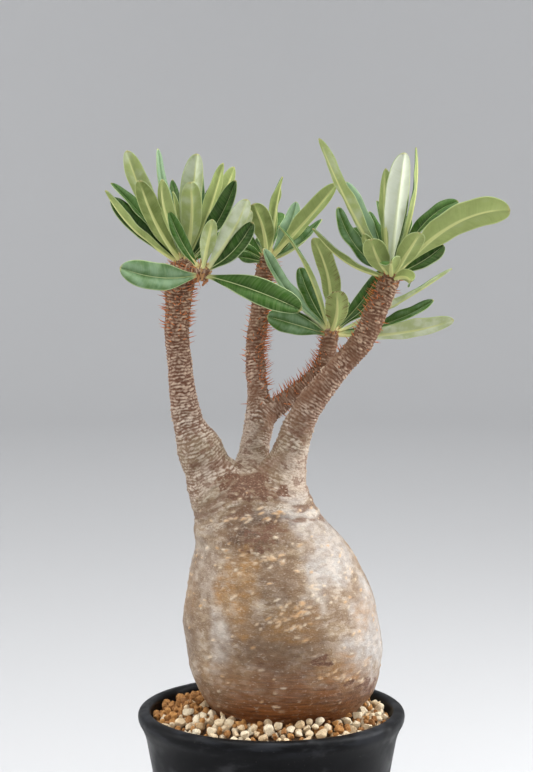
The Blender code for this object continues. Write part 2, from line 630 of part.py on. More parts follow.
def make_grains(collection):
    """Gravel grains on rings about the pot's axis, each an uneven lump half sunk in the soil."""
    draw = random.Random(GRAVEL_SEED)
    for ring, circle in enumerate(GRAIN_CIRCLES):
        count = int(math.tau * circle / GRAIN_SPACING)
        for number in range(count):
            shift = draw.uniform(-GRAIN_SHIFT_ROUND, GRAIN_SHIFT_ROUND) + 0.5 * (ring % 2)
            angle = math.tau * (number + shift) / count
            reach = circle + draw.uniform(-GRAIN_SHIFT_OUT, GRAIN_SHIFT_OUT)
            x, y = reach * math.cos(angle), reach * math.sin(angle)
            if not is_on_gravel(x, y):
                continue
            shape = bmesh.new()
            bmesh.ops.create_icosphere(shape, subdivisions=1,
                                       radius=draw.uniform(*GRAIN_RADIUS) * MM)
            for vertex in shape.verts:
                vertex.co *= draw.uniform(*GRAIN_UNEVEN)
            grain = add_mesh(f"grain_{ring}_{number}", shape, collection)
            grain.rotation_euler = [draw.uniform(0.0, math.tau) for _ in range(3)]
            grain.scale = (1.0, draw.uniform(GRAIN_FLAT, 1.0), GRAIN_FLAT)
            grain.location = Vector((x, y, soil_level(reach) + draw.uniform(*GRAIN_RISE))) * MM


def soil_level(radius):
    """The height of the soil under the gravel, which is heaped towards the caudex."""
    radii = (SOIL_CREST_RADIUS, SOIL_RADIUS)
    return float(np.interp(radius, radii, (SOIL_AT_CAUDEX, SOIL_AT_WALL)))


def make_soil(collection):
    """The soil that fills the pot, with gravel on it and a socket for the caudex."""
    wall = pot_inner_wall(GAP)
    side = SOIL_RADIUS - SOIL_INSET
    top = [(0.0, SOIL_AT_CAUDEX), (SOIL_CREST_RADIUS, SOIL_AT_CAUDEX), (side, SOIL_AT_WALL),
           (side, POT_LIP_INSIDE[0][1])]
    soil = turned("soil_and_gravel", [*top, *reversed(wall), (0.0, POT_FLOOR + GAP)],
                  POT_STEPS, collection)
    gravel = new_collection("gravel")
    make_grains(gravel)
    cut_or_join(soil, "UNION", gravel)
    limit = new_collection("limit")
    above = POT_HEIGHT + 10.0
    turned("inside_of_lip", [(0.0, above), (SOIL_RADIUS, above), (SOIL_RADIUS, 0.0), (0.0, 0.0)],
           POT_STEPS, limit)
    cut_or_join(soil, "INTERSECT", limit)
    socket = new_collection("socket")
    caudex_body("socket_cutter", socket, clearance=GAP)
    cut_or_join(soil, "DIFFERENCE", socket)
    return soil


def main():
    clear_scene()
    plant = new_collection("potted_pachypodium")
    finished = {
        "pot_plastic": [make_pot(plant)],
        "gravel": [make_soil(plant)],
        "bark": [make_plant_body(plant)],
        "leaf": [make_rosette(name, plant) for name in ROSETTES],
    }
    for material_name, things in finished.items():
        material = make_material(material_name)
        for thing in things:
            thing.data.materials.clear()
            thing.data.materials.append(material)
            thing.data.shade_smooth()
            thing.data.set_sharp_from_angle(angle=SHARP_ANGLE)


main()
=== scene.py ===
"""The looks of a potted pachypodium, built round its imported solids.

Lengths are in millimetres and MM turns them into metres. +X is to the right of the plant's front,
+Y runs to its back and +Z is up. The tables of limbs and leaves repeat those of the solids.
"""

import json
import math
import random
from typing import NamedTuple

import bmesh
import bpy
import numpy as np
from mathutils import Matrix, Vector

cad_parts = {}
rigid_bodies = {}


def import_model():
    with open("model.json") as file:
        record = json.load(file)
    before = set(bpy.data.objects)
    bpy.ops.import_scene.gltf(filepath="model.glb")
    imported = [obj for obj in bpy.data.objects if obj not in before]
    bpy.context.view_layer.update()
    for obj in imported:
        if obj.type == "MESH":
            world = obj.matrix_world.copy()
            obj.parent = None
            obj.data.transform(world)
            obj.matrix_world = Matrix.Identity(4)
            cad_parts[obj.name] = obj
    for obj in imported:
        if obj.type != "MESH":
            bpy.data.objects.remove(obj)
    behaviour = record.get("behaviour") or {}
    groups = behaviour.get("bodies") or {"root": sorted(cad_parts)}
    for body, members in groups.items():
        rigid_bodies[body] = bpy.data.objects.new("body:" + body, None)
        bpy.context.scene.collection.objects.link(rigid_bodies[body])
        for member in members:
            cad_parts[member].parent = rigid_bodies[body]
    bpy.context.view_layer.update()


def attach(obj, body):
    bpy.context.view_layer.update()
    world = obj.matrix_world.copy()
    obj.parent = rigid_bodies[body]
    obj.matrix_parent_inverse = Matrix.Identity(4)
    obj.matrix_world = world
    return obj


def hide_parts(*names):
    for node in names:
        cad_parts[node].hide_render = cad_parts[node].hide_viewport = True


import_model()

MM = 0.001

# Camera, at the photograph's viewing angle
CAMERA_PLACE = (-1.94, -795.8, 301.45)
CAMERA_TILT = math.radians(84.1)
CAMERA_SENSOR = 36.0
CAMERA_LENS = CAMERA_SENSOR * 2062.5 / 772.0

# Pot: radius and height
POT_SEGMENTS = 144
POT_OUTSIDE = (
    (49.2, 92.0), (50.3, 91.95), (51.3, 91.65), (52.05, 91.0), (52.42, 90.1), (52.5, 89.2),
    (52.35, 88.0), (51.95, 86.9), (51.3, 85.8), (50.6, 84.3), (49.9, 82.6), (49.3, 80.5),
    (48.3, 75.0), (47.1, 68.5), (43.6, 46.0), (40.1, 23.6), (36.9, 3.2), (36.4, 1.4), (35.7, 0.4),
    (35.0, 0.0),
)
POT_LIP_INSIDE = ((47.4, 81.0), (47.4, 89.4), (47.55, 90.7), (47.95, 91.5), (48.5, 91.9))
POT_WALL = 2.0
POT_FLOOR = 4.6
FOOT_INNER_RADIUS = 29.5
FOOT_RECESS = 2.0
BOSS_RADIUS = 9.0
DRAIN_HOLES = 6
DRAIN_RADIUS = 3.2
DRAIN_CIRCLE = 19.0

# Soil and gravel
GAP = 0.35
SOIL_AT_WALL = 87.4
SOIL_AT_CAUDEX = 92.2
SOIL_CREST_RADIUS = 34.0
SOIL_RADIUS = 47.05
SOIL_DEPTH_UNDER_GRAINS = 2.7
GRAINS_DRAWN = 900  # the ones that don't fit are left out
PUMICE_RADII, CLAY_RADII = (1.45, 2.6), (1.1, 2.05)
HEAPED = 1.3  # how far above the gravel's level a grain may lie
GRAIN_SEED = 11
GRAIN_TRIES = 14
PUMICE_SHARE = 0.40
GRAIN_SHAPES = 14

# Caudex: height, middle in x, half width, and depth as a share of the width
CAUDEX_ROWS = (
    (64.0, 5.4, 0.0, 1.00), (67.0, 5.4, 6.2, 1.00), (73.0, 5.4, 12.0, 1.00), (80.0, 5.3, 18.5, 0.98),
    (88.0, 5.3, 25.6, 0.96), (93.6, 5.3, 29.7, 0.96),
    (99.2, 5.5, 33.7, 0.96), (107.3, 5.5, 36.9, 0.96), (115.3, 5.4, 38.3, 0.95),
    (123.3, 4.7, 38.5, 0.95), (131.3, 3.9, 37.8, 0.95), (140.0, 2.7, 35.9, 0.94),
    (148.6, 1.1, 33.2, 0.93), (156.5, -0.4, 30.0, 0.91), (162.8, -2.7, 27.6, 0.89),
    (167.4, -4.0, 24.8, 0.87), (172.2, -6.0, 23.3, 0.85), (178.0, -8.2, 21.6, 0.82),
    (182.6, -9.2, 17.8, 0.78), (185.6, -9.2, 10.5, 0.76), (186.6, -9.2, 0.0, 0.76),
)
AREAS = {  # colour areas on the caudex's front: x, height, half width, half height and strength
    "brown": (
        (-6.0, 166.0, 13.0, 7.5, 1.00), (0.5, 125.0, 17.0, 16.0, 0.75), (1.0, 147.0, 9.0, 10.0, 0.60),
        (33.0, 101.0, 9.0, 4.0, 0.50), (-30.0, 184.0, 5.0, 5.0, 0.50), (-35.0, 122.0, 6.0, 15.0, 0.40),
        (-22.0, 168.0, 7.0, 6.0, 0.35),
    ),
    "ochre": (
        (-12.0, 143.5, 8.0, 14.0, 0.90), (34.7, 130.8, 4.5, 9.0, 0.55), (7.0, 133.0, 10.0, 8.0, 0.55),
        (-16.0, 112.0, 12.0, 5.0, 0.35), (28.0, 113.0, 10.0, 8.0, 0.95), (-33.0, 140.0, 5.0, 8.0, 0.40),
    ),
    # The silver areas are partly the skin's silvery grey and partly a painted highlight: the bright sheen
    # at the upper right and on the right, and a pale upright band on the left.
    "silver_and_highlight": (
        (24.1, 154.9, 11.0, 13.0, 0.85), (14.5, 167.0, 9.0, 5.0, 0.70), (-19.5, 124.0, 5.0, 13.0, 0.60),
        (38.0, 128.0, 9.0, 22.0, 1.00), (9.0, 186.0, 7.0, 11.0, 0.90), (-25.0, 184.0, 4.0, 7.0, 0.60),
        (2.0, 171.5, 18.0, 2.2, 0.80), (-26.0, 152.0, 6.0, 12.0, 0.30), (16.0, 141.0, 7.0, 6.0, 0.45),
        (33.0, 118.0, 8.0, 12.0, 0.80),
    ),
    "rust": (
        (-9.0, 182.0, 16.0, 6.0, 0.95), (19.3, 117.9, 4.2, 2.8, 0.80), (31.0, 103.0, 11.0, 7.0, 0.50),
        (-4.0, 163.0, 7.0, 7.0, 0.40),
    ),
}
BACK_CLOUDS = {  # the same colours at the back: seed, and the noise level at which they start
    "brown": (81, 0.0), "ochre": (84, 0.15), "silver_and_highlight": (87, -0.1), "rust": (90, 0.45),
}
BUMP_LINES = (  # rows of small crusts on the front: x and height at both ends, and how many
    (-9.0, 158.6, 5.0, 154.6, 15), (-6.0, 155.0, 3.5, 157.6, 9), (-2.0, 133.6, 16.0, 137.4, 18),
    (3.0, 138.6, 18.0, 141.0, 13), (0.5, 130.4, 13.0, 132.6, 11), (14.0, 146.0, 27.0, 139.0, 9),
    (-24.0, 168.0, -8.0, 171.0, 10), (-4.0, 170.5, 12.0, 173.0, 12), (24.0, 112.0, 35.0, 108.0, 12),
    (-18.0, 160.0, -12.0, 150.0, 7), (20.0, 160.0, 30.0, 149.0, 8),
)
BUMPS_SCATTERED = 300
BUMP_SEED = 9
CAUDEX_LUMPS = (  # height, number round the caudex, turn for each millimetre up, start
    (0.40, 3, 0.09, 0.0), (0.24, 5, -0.17, 1.3), (0.20, 1, 0.33, 0.0),
)
LUMPS_FULL = 20.0
TABLE_RADIUS, TABLE_LOW, TABLE_HIGH, TABLE_CELL = 60.0, 50.0, 230.0, 0.5  # of distances
BODY_HIGH, BODY_STEP, BODY_SIDES = 168.0, 0.56, 410
HIDDEN_BODY = (64.8, 67.0, 70.0, 73.0, 76.0, 79.0, 82.0, 84.0, 86.0)  # rings under the gravel
SEAM = 164.0  # where the body's mesh dips under the neck's
NECK_LOW, NECK_VOXEL = 160.0, 0.47
SEAM_OVERLAP = 3.0
FLARE = 5.5  # how far a limb and the caudex melt into each other
FORK_FLARE = 1.6  # how far two limbs do

# Limbs: x, y, z and radius along the middle of each
LIMBS = {
    "left": (
        (-13.0, -1.0, 168.0, 13.5), (-20.0, -2.2, 179.0, 11.6), (-25.6, -3.2, 189.0, 8.6),
        (-29.8, -4.0, 198.4, 6.7), (-32.6, -4.3, 207.5, 5.8), (-34.2, -4.5, 217.0, 5.1),
        (-35.3, -4.8, 227.5, 4.8), (-36.4, -5.0, 238.5, 4.7), (-36.0, -5.1, 248.5, 4.8),
        (-35.0, -5.4, 260.5, 5.5),
    ),
    "centre": (
        (-8.6, 3.5, 178.0, 9.0), (-7.4, 6.4, 188.0, 6.6), (-6.0, 8.0, 197.5, 5.7),
        (-4.6, 9.6, 206.0, 5.7), (-5.2, 12.2, 214.0, 4.2), (-6.1, 14.6, 223.0, 3.9),
        (-6.5, 16.6, 232.0, 3.7), (-5.3, 18.4, 241.0, 3.8), (-4.1, 20.0, 250.0, 3.6),
        (-2.6, 21.6, 262.5, 3.6),
    ),
    "middle": (
        (-3.6, 9.8, 206.0, 4.4), (2.6, 10.6, 210.2, 3.8), (8.2, 11.2, 214.4, 3.6),
        (13.8, 11.8, 218.8, 3.5), (18.8, 12.0, 224.0, 3.4), (21.6, 12.0, 229.8, 3.3),
        (22.8, 12.0, 235.6, 3.3),
    ),
    "right": (
        (0.4, -2.6, 176.0, 13.0), (5.0, -3.6, 187.0, 8.6), (7.8, -4.6, 196.0, 6.6),
        (10.8, -5.4, 205.0, 6.0), (14.8, -6.0, 212.8, 5.3), (21.0, -6.4, 221.0, 4.8),
        (28.0, -7.0, 229.4, 4.6), (34.2, -7.4, 236.8, 4.4), (39.0, -7.8, 246.0, 4.3),
        (44.2, -8.0, 258.4, 3.9),
    ),
}
KNOB = (-27.2, -3.8, 195.2, 7.4)
LIMB_STEP = 0.33  # between the rings of a limb's mesh
LIMB_SIDE = 0.42  # between the points of a ring
# Above this height each limb is a mesh of its own, whose foot lies hidden inside the neck's mesh
LIMB_CUTS = {"left": 207.0, "centre": 221.0, "middle": 214.5, "right": 207.0}
CUT_OVERLAP = 2.4
TUCK = 0.5
RING_PITCH = 1.22
RING_HEIGHT = 0.46
LIMB_EXIT = 190.0  # a limb's measure equals the height where it passes this height
BRANCH_START, BRANCH_DEPTH = 260.0, 3.0  # the short branch's first measure, and how deep it starts

# Spines: how far apart the scars are, the height from which spines last, the height from which all
# do, the side that keeps most of them, and the share that lasts on the other sides
SPINES = {
    "left": (2.5, 232.0, 252.0, (0.1, -0.2, 0.3), 0.42),
    "centre": (2.2, 203.0, 232.0, (0.95, -0.3, 0.1), 0.16),
    "middle": (2.0, 207.0, 214.0, (-0.6, -0.1, 0.8), 0.10),
    "right": (2.7, 222.0, 262.0, (-0.8, -0.2, 0.6), 0.12),
    "branch": (2.3, 250.0, 262.0, (0.2, -0.5, 0.3), 0.50),
}
SPINE_LENGTH = (2.4, 4.6)
SPINE_RADIUS = 0.22
SPINE_SPLAY = 0.42
SPINE_SIDES, SPINE_LEVELS = 4, (0.0, 0.35, 0.72, 1.0)
SPINE_ROOT, SPINE_POINT = 0.35, 0.015  # how deep it stands in the skin, and the radius of its point
SPINE_SEED = 5
GOLDEN_ANGLE = math.radians(137.508)

# Leaves
BLADE_THICKNESS = 0.62
BLADE_ACROSS = (
    -1.0, -0.94, -0.82, -0.62, -0.40, -0.20, -0.08, 0.0, 0.08, 0.20, 0.40, 0.62, 0.82, 0.94, 1.0,
)
BLADE_STEPS = 38
BASE_FOLD = math.radians(38.0)
RIPPLES = 2.2
LEAF_ROOT_OUT = 1.3
LEAF_ROOT_RISE = 2.6
LEVEL_STEEPNESS = 0.6
FRONT = np.array((0.0, -1.0, 0.0))

# Bark colours. A pair is a dark and a pale colour that fine noise chooses between
LIMB_YOUNG = ((0.106, 0.041, 0.020), (0.525, 0.372, 0.250))
LIMB_GROWN = ((0.122, 0.047, 0.025), (0.555, 0.420, 0.315))
LIMB_OLD = ((0.170, 0.090, 0.054), (0.62, 0.53, 0.44))
LIMB_CLOUD, LIMB_OLIVE, LIMB_CREAM = (0.175, 0.085, 0.046), (0.270, 0.215, 0.125), (0.58, 0.48, 0.39)
LIMB_RUSSET = ((0.105, 0.045, 0.024), (0.260, 0.140, 0.090))
SKIN = ((0.188, 0.113, 0.055), (0.458, 0.350, 0.232))
# Silvery grey skin, its pale end partly a painted highlight
SILVER_AND_HIGHLIGHT = ((0.315, 0.267, 0.230), (0.545, 0.520, 0.495))
BROWN = ((0.048, 0.021, 0.010), (0.165, 0.088, 0.044))
OCHRE = ((0.50, 0.245, 0.060), (0.290, 0.155, 0.050))
RUST = ((0.085, 0.034, 0.016), (0.190, 0.092, 0.052))
# Darker and browner towards the soil: partly the skin's own brown, partly painted shade
LOW_BROWN_AND_SHADE = ((0.080, 0.020, 0.004), (0.295, 0.104, 0.027))
PEEL_PALE, PEEL_DARK, DUSK = (0.66, 0.57, 0.48), (0.175, 0.100, 0.055), (0.170, 0.096, 0.048)
# Painted shade in the valleys of the neck's folds, and a painted highlight on their backs
PAINTED_FOLD_SHADE, FOLD_BACK_HIGHLIGHT = (0.150, 0.070, 0.034), (0.68, 0.60, 0.50)
GRIT_PALE, GRIT_DARK = (0.70, 0.63, 0.54), (0.11, 0.060, 0.034)
SCURF, SPECK, FLAKE = (0.60, 0.53, 0.44), (0.165, 0.075, 0.038), (0.70, 0.61, 0.50)
CRUST = ((0.74, 0.63, 0.48), (0.62, 0.350, 0.145))

# Other colours
SPINE = ((0.44, 0.105, 0.026), (0.70, 0.230, 0.058))
SPINE_FOOT, SPINE_TIP = (0.46, 0.28, 0.16), (0.22, 0.050, 0.022)
SCALE = ((0.34, 0.120, 0.042), (0.70, 0.54, 0.22))
SCALE_FIBRE, SCALE_FOOT = (0.20, 0.080, 0.032), (0.76, 0.70, 0.36)
LEAF_FOOT, LEAF_TIP, LEAF_DASH = (0.72, 0.68, 0.32), (0.44, 0.38, 0.16), (0.13, 0.035, 0.018)
# The last colour of each kind is both the stains' colour and a painted shade in the pores
GRAINS = {  # dark, pale, dust and pit
    "pumice": ((0.66, 0.46, 0.25), (0.92, 0.82, 0.62), (0.82, 0.68, 0.46), (0.36, 0.19, 0.07)),
    "clay": ((0.235, 0.088, 0.024), (0.56, 0.270, 0.080), (0.60, 0.35, 0.15), (0.10, 0.038, 0.013)),
}
SOIL = ((0.030, 0.018, 0.010), (0.125, 0.070, 0.035))
PLASTIC = ((0.0032, 0.0034, 0.0040), (0.013, 0.0135, 0.015))
# The lip's paler grey-blue is partly wear and partly a painted highlight
LIP_WEAR_AND_HIGHLIGHT, SCUFF, POT_SPECK = (0.024, 0.026, 0.031), (0.062, 0.063, 0.066), (0.16, 0.145, 0.12)
STAGE_COLOUR = (0.50, 0.505, 0.515)

# Stage, wide enough that a camera on any side stands inside its wall
STAGE_RADIUS, STAGE_BEND, STAGE_HEIGHT = 2500.0, 800.0, 2300.0
STAGE_SIDES = 96

# Lights: place, point faced, size and power
PLANT_MIDDLE = (5.0, 0.0, 190.0)
LIGHTS = {
    "side_left": ((-640.0, -60.0, 430.0), PLANT_MIDDLE, (380.0, 660.0), 2.6),
    "side_right": ((620.0, 10.0, 470.0), PLANT_MIDDLE, (380.0, 660.0), 6.1),
    "overhead": ((0.0, 60.0, 960.0), PLANT_MIDDLE, (640.0, 560.0), 4.6),
    "ceiling": ((0.0, 0.0, 2600.0), (0.0, 0.0, 0.0), (3000.0, 3000.0), 20.0),
    "wall_0": ((700.0, 0.0, 1900.0), (2500.0, 0.0, 900.0), (1600.0, 500.0), 20.0),
    "wall_1": ((0.0, 700.0, 1900.0), (0.0, 2500.0, 900.0), (1600.0, 500.0), 20.0),
    "wall_2": ((-700.0, 0.0, 1900.0), (-2500.0, 0.0, 900.0), (1600.0, 500.0), 20.0),
    "wall_3": ((0.0, -700.0, 1900.0), (0.0, -2500.0, 900.0), (1600.0, 500.0), 20.0),
    "front": ((-120.0, -1000.0, 620.0), PLANT_MIDDLE, (700.0, 500.0), 3.0),
}
SKY_STRENGTH = 0.08


class Leaf(NamedTuple):
    """One leaf, measured as in the solids: reach, width, turn, bow, twist, fold and wave. tone says
    how pale its colour is, from 0 to 1, partly its glaucous bloom and partly a painted sheen, and spots
    how many red-brown flecks it bears."""

    reach: tuple
    width: float
    turn: float
    bow: tuple = (0.0, 0.0, 0.0)
    twist: float = 0.0
    fold: float = 15.0
    wave: float = 0.0
    tone: float = 0.4
    spots: float = 0.0


class Head(NamedTuple):
    """A growth point: the middle that its leaves spring from, its axis, and the leaves."""

    middle: tuple
    axis: tuple
    leaves: tuple


HEADS = {
    "left": Head(
        middle=(-33.5, -5.0, 266.7),
        axis=(-0.10, 0.0, 1.0),
        leaves=(
            Leaf((-21.0, -9.0, 43.0), 9.4, 148, bow=(-2.5, 1.5, 0.5), tone=0.62),
            Leaf((-15.5, -16.0, 32.5), 8.5, 160, bow=(-2.0, 1.5, -1.0), tone=0.16),
            Leaf((-10.5, 9.0, 44.0), 6.5, 58, bow=(-1.5, -1.0, 0.5), wave=0.4, tone=0.95),
            Leaf((-28.0, 10.0, 31.5), 7.5, 58, bow=(-0.5, -1.0, 0.5), tone=0.35),
            Leaf((-28.5, -3.0, 28.5), 7.5, 108, bow=(-4.5, 0.0, -0.5), tone=0.35),
            Leaf((-27.5, 3.0, 25.5), 8.5, 38, bow=(-2.0, 0.0, -0.5), tone=0.08),
            Leaf((19.5, -2.0, 32.0), 8.0, 38, bow=(2.5, 0.0, -0.5), fold=24.0, tone=0.08),
            Leaf((19.5, 9.0, 37.0), 7.5, 142, bow=(1.5, 0.0, 0.5), tone=0.40),
            Leaf((14.5, 3.0, 38.5), 7.0, 132, bow=(1.5, 0.0, 0.0), tone=0.42),
            Leaf((7.0, 12.0, 35.0), 5.5, 48, bow=(1.5, 0.0, 0.5), tone=0.60),
            Leaf((9.5, 9.0, 28.0), 5.5, 48, bow=(2.0, 0.0, 0.5), tone=0.15),
            Leaf((5.0, -7.0, 42.0), 9.6, 150, bow=(0.0, 1.5, 0.5), tone=0.78),
            Leaf((3.0, -17.0, 31.5), 8.2, 172, bow=(1.5, 1.5, 0.5), tone=0.60),
            Leaf((-5.5, 18.0, 31.5), 5.5, 30, bow=(0.0, -1.5, 1.0), tone=0.15),
            Leaf((-4.5, 10.0, 27.5), 5.0, 120, tone=0.25),
            Leaf((-20.0, 24.0, 22.0), 8.4, 18, bow=(0.0, 0.0, 2.5), tone=0.35),
            Leaf((14.0, 25.0, 24.0), 8.6, 18, bow=(0.0, 0.0, 2.5), tone=0.40),
            Leaf((-2.0, 32.0, 12.0), 9.0, 10, bow=(0.0, 0.0, 3.5), tone=0.30),
            Leaf((24.0, 20.0, 10.0), 8.2, 22, bow=(0.0, 0.0, 3.0), tone=0.35),
        ),
    ),
    "left_front": Head(
        middle=(-26.0, -14.0, 264.5),
        axis=(0.25, -0.25, 0.93),
        leaves=(
            Leaf((-30.0, -15.0, 2.0), 11.0, 18, bow=(0.0, 0.0, -2.5), tone=0.72),
            Leaf((37.0, -17.0, -14.0), 10.6, 24, bow=(0.5, 0.0, 1.0), tone=0.25),
            Leaf((-15.0, -5.0, 34.5), 7.5, 150, bow=(-4.5, 0.0, 0.5), fold=25.0, tone=0.42),
            Leaf((18.5, -8.0, 18.5), 7.6, 32, bow=(1.5, 0.0, -2.0), tone=0.08),
            Leaf((4.0, -15.0, 20.0), 6.2, 172, bow=(0.0, 1.0, 0.0), tone=0.62),
            Leaf((17.0, -11.0, 26.5), 8.6, 150, bow=(1.0, 1.0, -0.5), tone=0.78),
            Leaf((18.0, -4.0, 23.0), 7.8, 150, bow=(1.5, 0.0, 0.0), tone=0.70),
            Leaf((-12.5, -4.0, 22.5), 6.0, 30, bow=(-1.0, 0.0, -1.0), tone=0.40),
        ),
    ),
    "centre": Head(
        middle=(-1.6, 22.0, 267.5),
        axis=(0.05, 0.05, 1.0),
        leaves=(
            Leaf((-5.5, -14.0, 21.5), 9.0, 170, bow=(1.5, 1.0, 0.5), tone=0.20),
            Leaf((5.5, -6.0, 32.5), 6.5, 150, bow=(0.0, 0.0, 1.5), twist=-60.0, wave=0.5, tone=0.28),
            Leaf((12.0, 8.0, 22.0), 6.5, 28, bow=(1.5, 0.0, 0.0), wave=0.9, tone=0.85),
            Leaf((27.0, -8.0, 29.0), 8.2, 145, bow=(0.5, 0.0, 0.0), tone=0.42),
            Leaf((21.0, 3.0, 16.0), 6.0, 58, bow=(2.0, 0.0, -2.0), fold=30.0, tone=0.60),
            Leaf((9.0, 9.0, 9.0), 5.0, 40, bow=(1.0, 0.0, 0.5), tone=0.20),
            Leaf((-10.0, -1.0, 4.0), 5.5, 30, bow=(-1.0, 0.0, 1.0), tone=0.40),
            Leaf((-12.0, -6.0, 1.0), 5.5, 38, bow=(-1.5, 0.0, 0.5), tone=0.20),
            Leaf((-7.0, 16.0, 21.0), 7.4, 20, bow=(0.0, 0.0, 2.0), tone=0.35),
            Leaf((4.5, 21.0, 18.0), 7.6, 15, bow=(0.0, 0.0, 2.5), tone=0.40),
            Leaf((18.0, 19.0, 11.0), 7.4, 20, bow=(0.0, 0.0, 2.5), tone=0.30),
            Leaf((-18.0, 15.0, 10.0), 7.6, 22, bow=(0.0, 0.0, 2.5), tone=0.35),
            Leaf((-2.0, 26.0, 4.0), 8.0, 10, bow=(0.0, 0.0, 3.5), tone=0.30),
        ),
    ),
    "middle": Head(
        middle=(23.6, 12.0, 239.4),
        axis=(0.20, 0.0, 0.98),
        leaves=(
            Leaf((-25.5, -8.0, 6.5), 9.0, 15, bow=(-1.0, 0.0, 0.5), wave=0.9, tone=0.60),
            Leaf((-20.5, 0.0, 9.5), 6.0, 62, bow=(-0.5, 0.0, 0.5), tone=0.18),
            Leaf((-28.0, -8.0, 32.5), 8.0, 52, bow=(-2.0, 0.0, -1.5), fold=28.0, tone=0.80),
            Leaf((-13.0, 6.0, 24.5), 8.0, 30, bow=(-1.0, 0.0, 0.0), wave=0.8, tone=0.50),
            Leaf((-20.0, 1.0, 42.0), 5.5, 104, bow=(1.5, 0.0, 2.0), twist=-20.0, tone=0.55),
            Leaf((1.5, -16.0, 16.0), 9.6, 176, bow=(1.0, 1.0, -1.0), tone=0.36, spots=1.0),
            Leaf((-7.5, -10.0, 37.0), 9.0, 152, bow=(3.0, 0.0, 1.0), wave=0.6, tone=0.36, spots=0.4),
            Leaf((20.5, 11.0, 23.5), 6.5, 30, bow=(0.5, 0.0, -1.5), tone=0.10),
            Leaf((47.0, 4.0, 25.0), 5.5, 116, bow=(1.5, 0.0, -1.5), tone=0.70),
            Leaf((40.0, 2.0, 12.5), 7.0, 55, bow=(2.5, 0.0, -2.5), tone=0.55),
            Leaf((47.5, -4.0, 5.0), 9.0, 148, bow=(1.5, 2.0, -2.5), wave=0.7, tone=0.75),
            Leaf((24.0, 4.0, 4.0), 6.0, 140, bow=(0.0, 0.0, -1.5), tone=0.50),
            Leaf((-12.0, 22.0, 12.0), 7.6, 20, bow=(0.0, 0.0, 2.5), tone=0.35),
            Leaf((8.0, 26.0, 7.0), 7.8, 12, bow=(0.0, 0.0, 3.0), tone=0.30),
            Leaf((26.0, 18.0, 13.0), 7.4, 22, bow=(0.0, 0.0, 2.5), tone=0.40),
        ),
    ),
    "right": Head(
        middle=(46.0, -8.0, 262.6),
        axis=(0.22, -0.05, 0.97),
        leaves=(
            Leaf((-29.5, -6.0, 18.5), 8.0, 102, bow=(-2.5, 0.0, -3.5), tone=0.20),
            Leaf((-21.0, 8.0, 25.5), 8.0, 44, bow=(-2.5, 0.0, -2.5), wave=0.9, tone=0.55),
            Leaf((-27.5, -12.0, 52.0), 7.6, 122, bow=(-2.5, 0.0, 0.5), tone=0.60),
            Leaf((-17.5, 6.0, 35.5), 8.0, 50, bow=(-1.5, 0.0, 1.0), fold=24.0, tone=0.90),
            Leaf((-8.0, 14.0, 24.0), 5.5, 30, wave=0.8, tone=0.50),
            Leaf((-4.5, 9.0, 28.5), 6.5, 50, tone=0.50),
            Leaf((-3.0, -5.0, 40.5), 6.6, 150, bow=(-1.0, 0.0, 0.0), fold=24.0, tone=0.50),
            Leaf((3.5, -8.0, 46.5), 10.0, 152, bow=(0.0, 1.0, 1.0), tone=1.0),
            Leaf((9.0, 1.0, 48.5), 5.5, 96, bow=(3.5, 0.0, 1.0), tone=0.50),
            Leaf((7.0, 12.0, 22.5), 6.0, 30, bow=(0.5, 0.0, 0.5), wave=0.9, tone=0.50),
            Leaf((6.5, 8.0, 37.0), 5.0, 62, bow=(1.5, 0.0, 1.0), tone=0.40),
            Leaf((25.5, 5.0, 28.0), 8.0, 55, bow=(-1.5, 0.0, 4.5), tone=0.22),
            Leaf((42.5, -22.0, 25.5), 12.4, 160, bow=(0.0, 2.0, 6.5), tone=0.46),
            Leaf((9.0, -20.0, 16.5), 8.0, 170, bow=(0.5, 1.0, 0.5), tone=0.42),
            Leaf((6.5, -18.0, -2.0), 6.6, 160, bow=(1.0, 0.0, 1.5), tone=0.46),
            Leaf((-9.0, -19.0, 13.5), 9.4, 165, bow=(-0.5, 1.0, -1.0), tone=0.36),
            Leaf((-11.5, -10.0, 15.5), 5.5, 150, bow=(-1.0, 0.0, 0.5), tone=0.30),
            Leaf((-2.0, -23.0, 6.0), 8.6, 176, bow=(0.0, 0.0, 1.5), tone=0.50),
            Leaf((20.0, 4.0, 11.0), 8.4, 40, bow=(1.0, 0.0, -0.5), tone=0.12, spots=0.2),
            Leaf((-15.0, 20.0, 16.0), 7.6, 20, bow=(0.0, 0.0, 2.5), tone=0.35),
            Leaf((3.0, 26.0, 18.0), 8.0, 12, bow=(0.0, 0.0, 2.5), tone=0.35),
            Leaf((20.0, 22.0, 13.0), 7.8, 20, bow=(0.0, 0.0, 2.5), tone=0.30),
            Leaf((-4.0, 27.0, 4.0), 8.0, 10, bow=(0.0, 0.0, 3.5), tone=0.35),
        ),
    ),
}
ROSETTES = {
    "left": ("left", "left_front"), "centre": ("centre",), "middle": ("middle",),
    "right": ("right",),
}

# The small dry scales round each growth point, and the tips of the limbs
SCALES = 26
SCALE_SEED = 23
SCALE_STEPS = 9
SCALE_ACROSS = (-1.0, -0.5, 0.0, 0.5, 1.0)
SCALE_THICKNESS = 0.45
CROWN_RISE = 2.6  # how far a limb's tip runs on above its growth point
BRANCH_RADII = (3.0, 3.4, 2.8)


